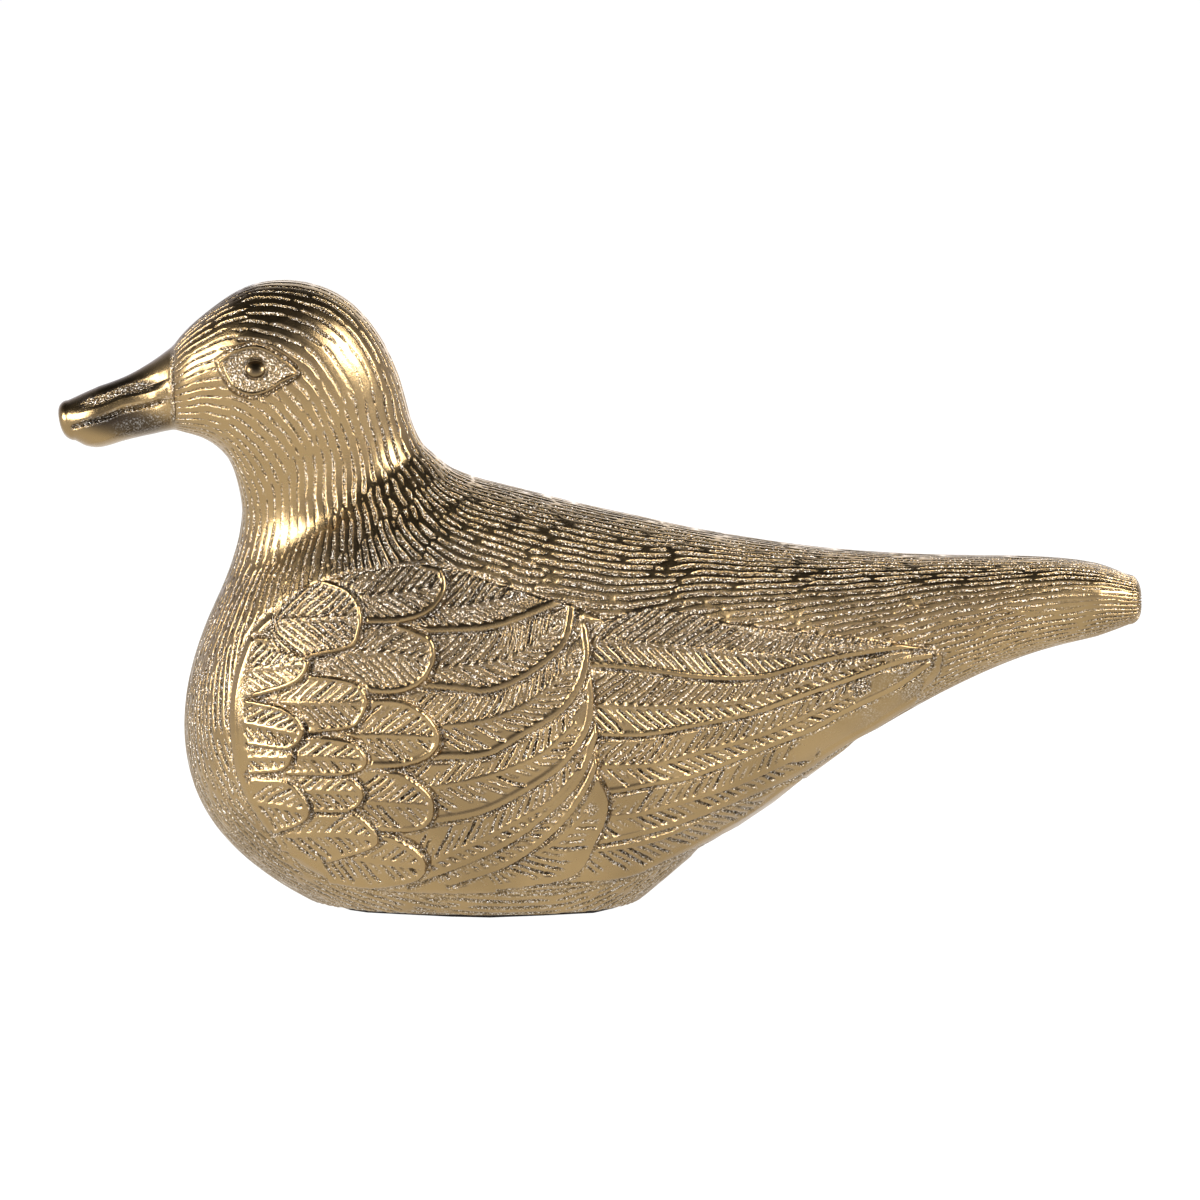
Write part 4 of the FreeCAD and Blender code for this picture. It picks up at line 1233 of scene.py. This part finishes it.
# %% [markdown]
# ## Floor and light
# The photograph is a product shot on white: a pale floor, light from low all round, and a dark ceiling
# that draws dark bands on every surface that looks up at it. A picture of a studio could be wrapped
# round the scene, but a sky that changes with height alone does the same and needs no picture. Two soft
# boxes in front, one each side, give the bright spots on the cheek, the neck and the tail, and a weak
# one behind lights the edges.

# %% Floor
# Radius in metres.
FLOOR_RADIUS = 14.0
FLOOR_CORNERS = 64
turns = np.linspace(0, 2 * math.pi, FLOOR_CORNERS + 1)[:-1]
floor_points = [(FLOOR_RADIUS * math.cos(turn), FLOOR_RADIUS * math.sin(turn), 0.0) for turn in turns]
floor_mesh = bpy.data.meshes.new("floor")
floor_mesh.from_pydata(floor_points, [], [list(range(FLOOR_CORNERS))])
floor = bpy.data.objects.new("floor", floor_mesh)
scene.collection.objects.link(floor)
floor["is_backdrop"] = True
print("floor:", 2 * FLOOR_RADIUS, "m across")

# %% Paper
# Seamless white photo paper, matt. The camera, gloss and glass see it as a lit background, so that it
# is white and the brass mirrors it, while the rest of it still takes the duck's shadow.
paper = bpy.data.materials.new("white_paper")
paper.use_nodes = True
paper_tree = paper.node_tree
paper_tree.nodes.remove(paper_tree.nodes["Principled BSDF"])
ray = add_node(paper_tree, "ShaderNodeLightPath").outputs
seen = {name: ray["Is " + name + " Ray"] for name in ("Camera", "Glossy", "Transmission")}
work_out(paper_tree, seen, [
    ("either", "MAXIMUM", "Camera", "Glossy"),
    ("any", "MAXIMUM", "either", "Transmission"),
    ("white", "MULTIPLY", "any", 0.85),
])
matte = add_node(paper_tree, "ShaderNodeBsdfDiffuse", {"Color": linear("#F6F5F2")})
shown = add_node(paper_tree, "ShaderNodeEmission", {"Color": linear("#FFFFFF"), "Strength": 1.16})
inputs = {0: seen["white"], 1: matte.outputs[0], 2: shown.outputs[0]}
sheet = add_node(paper_tree, "ShaderNodeMixShader", inputs)
paper_tree.links.new(sheet.outputs[0], paper_tree.nodes["Material Output"].inputs["Surface"])
floor_mesh.materials.append(paper)
print("floor material:", paper.name)

# %% Sky
# Heights, as the upward part of a direction, between which the ceiling darkens, and its last brightness.
CEILING_STARTS = 0.12
CEILING_FULL = 0.66
CEILING_LIGHT = 0.03
sky = bpy.data.worlds.new("studio")
scene.world = sky
sky.use_nodes = True
sky_tree = sky.node_tree
way_up = add_node(sky_tree, "ShaderNodeTexCoord").outputs["Generated"]
height_of = add_node(sky_tree, "ShaderNodeSeparateXYZ", {0: way_up}).outputs["Z"]
ceiling = add_node(
    sky_tree, "ShaderNodeMapRange",
    {"Value": height_of, "From Min": CEILING_STARTS, "From Max": CEILING_FULL,
     "To Min": 1.0, "To Max": CEILING_LIGHT},
)
sky_tree.links.new(ceiling.outputs[0], sky_tree.nodes["Background"].inputs["Strength"])
sky_tree.nodes["Background"].inputs["Color"].default_value = linear("#ECEDFC")
print("sky:", sky.name)

# %% Lamps
# Name, turn round the duck from the camera, height above the horizon, distance in m, width in m, watts.
LAMPS = [
    ("left_box", -62, 22, 1.3, 0.6, 24),
    ("right_box", 58, 34, 1.3, 0.6, 24),
    ("back_box", 170, 22, 1.5, 1.2, 7),
]
for name, turn, rise, distance, width, power in LAMPS:
    light = bpy.data.lights.new(name, "AREA")
    light.shape = "SQUARE"
    light.size = width
    light.energy = power
    lamp = bpy.data.objects.new(name, light)
    turn, rise = math.radians(turn), math.radians(rise)
    toward = np.array([math.sin(turn) * math.cos(rise), -math.cos(turn) * math.cos(rise), math.sin(rise)])
    lamp.location = AIM * METRES + toward * distance
    lamp.rotation_euler = (math.pi / 2 - rise, 0, turn)
    scene.collection.objects.link(lamp)
scene.view_settings.view_transform = "Standard"
print("lamps:", len(LAMPS))

# %% [markdown]
# ## The size
# The dressed duck should fill the same box as the CAD solids, so its box is printed.

# %% Sizes, and the end
bpy.context.view_layer.update()
low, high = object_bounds()
print("visual box in mm:", [round((b - a) / METRES, 1) for a, b in zip(low, high)])
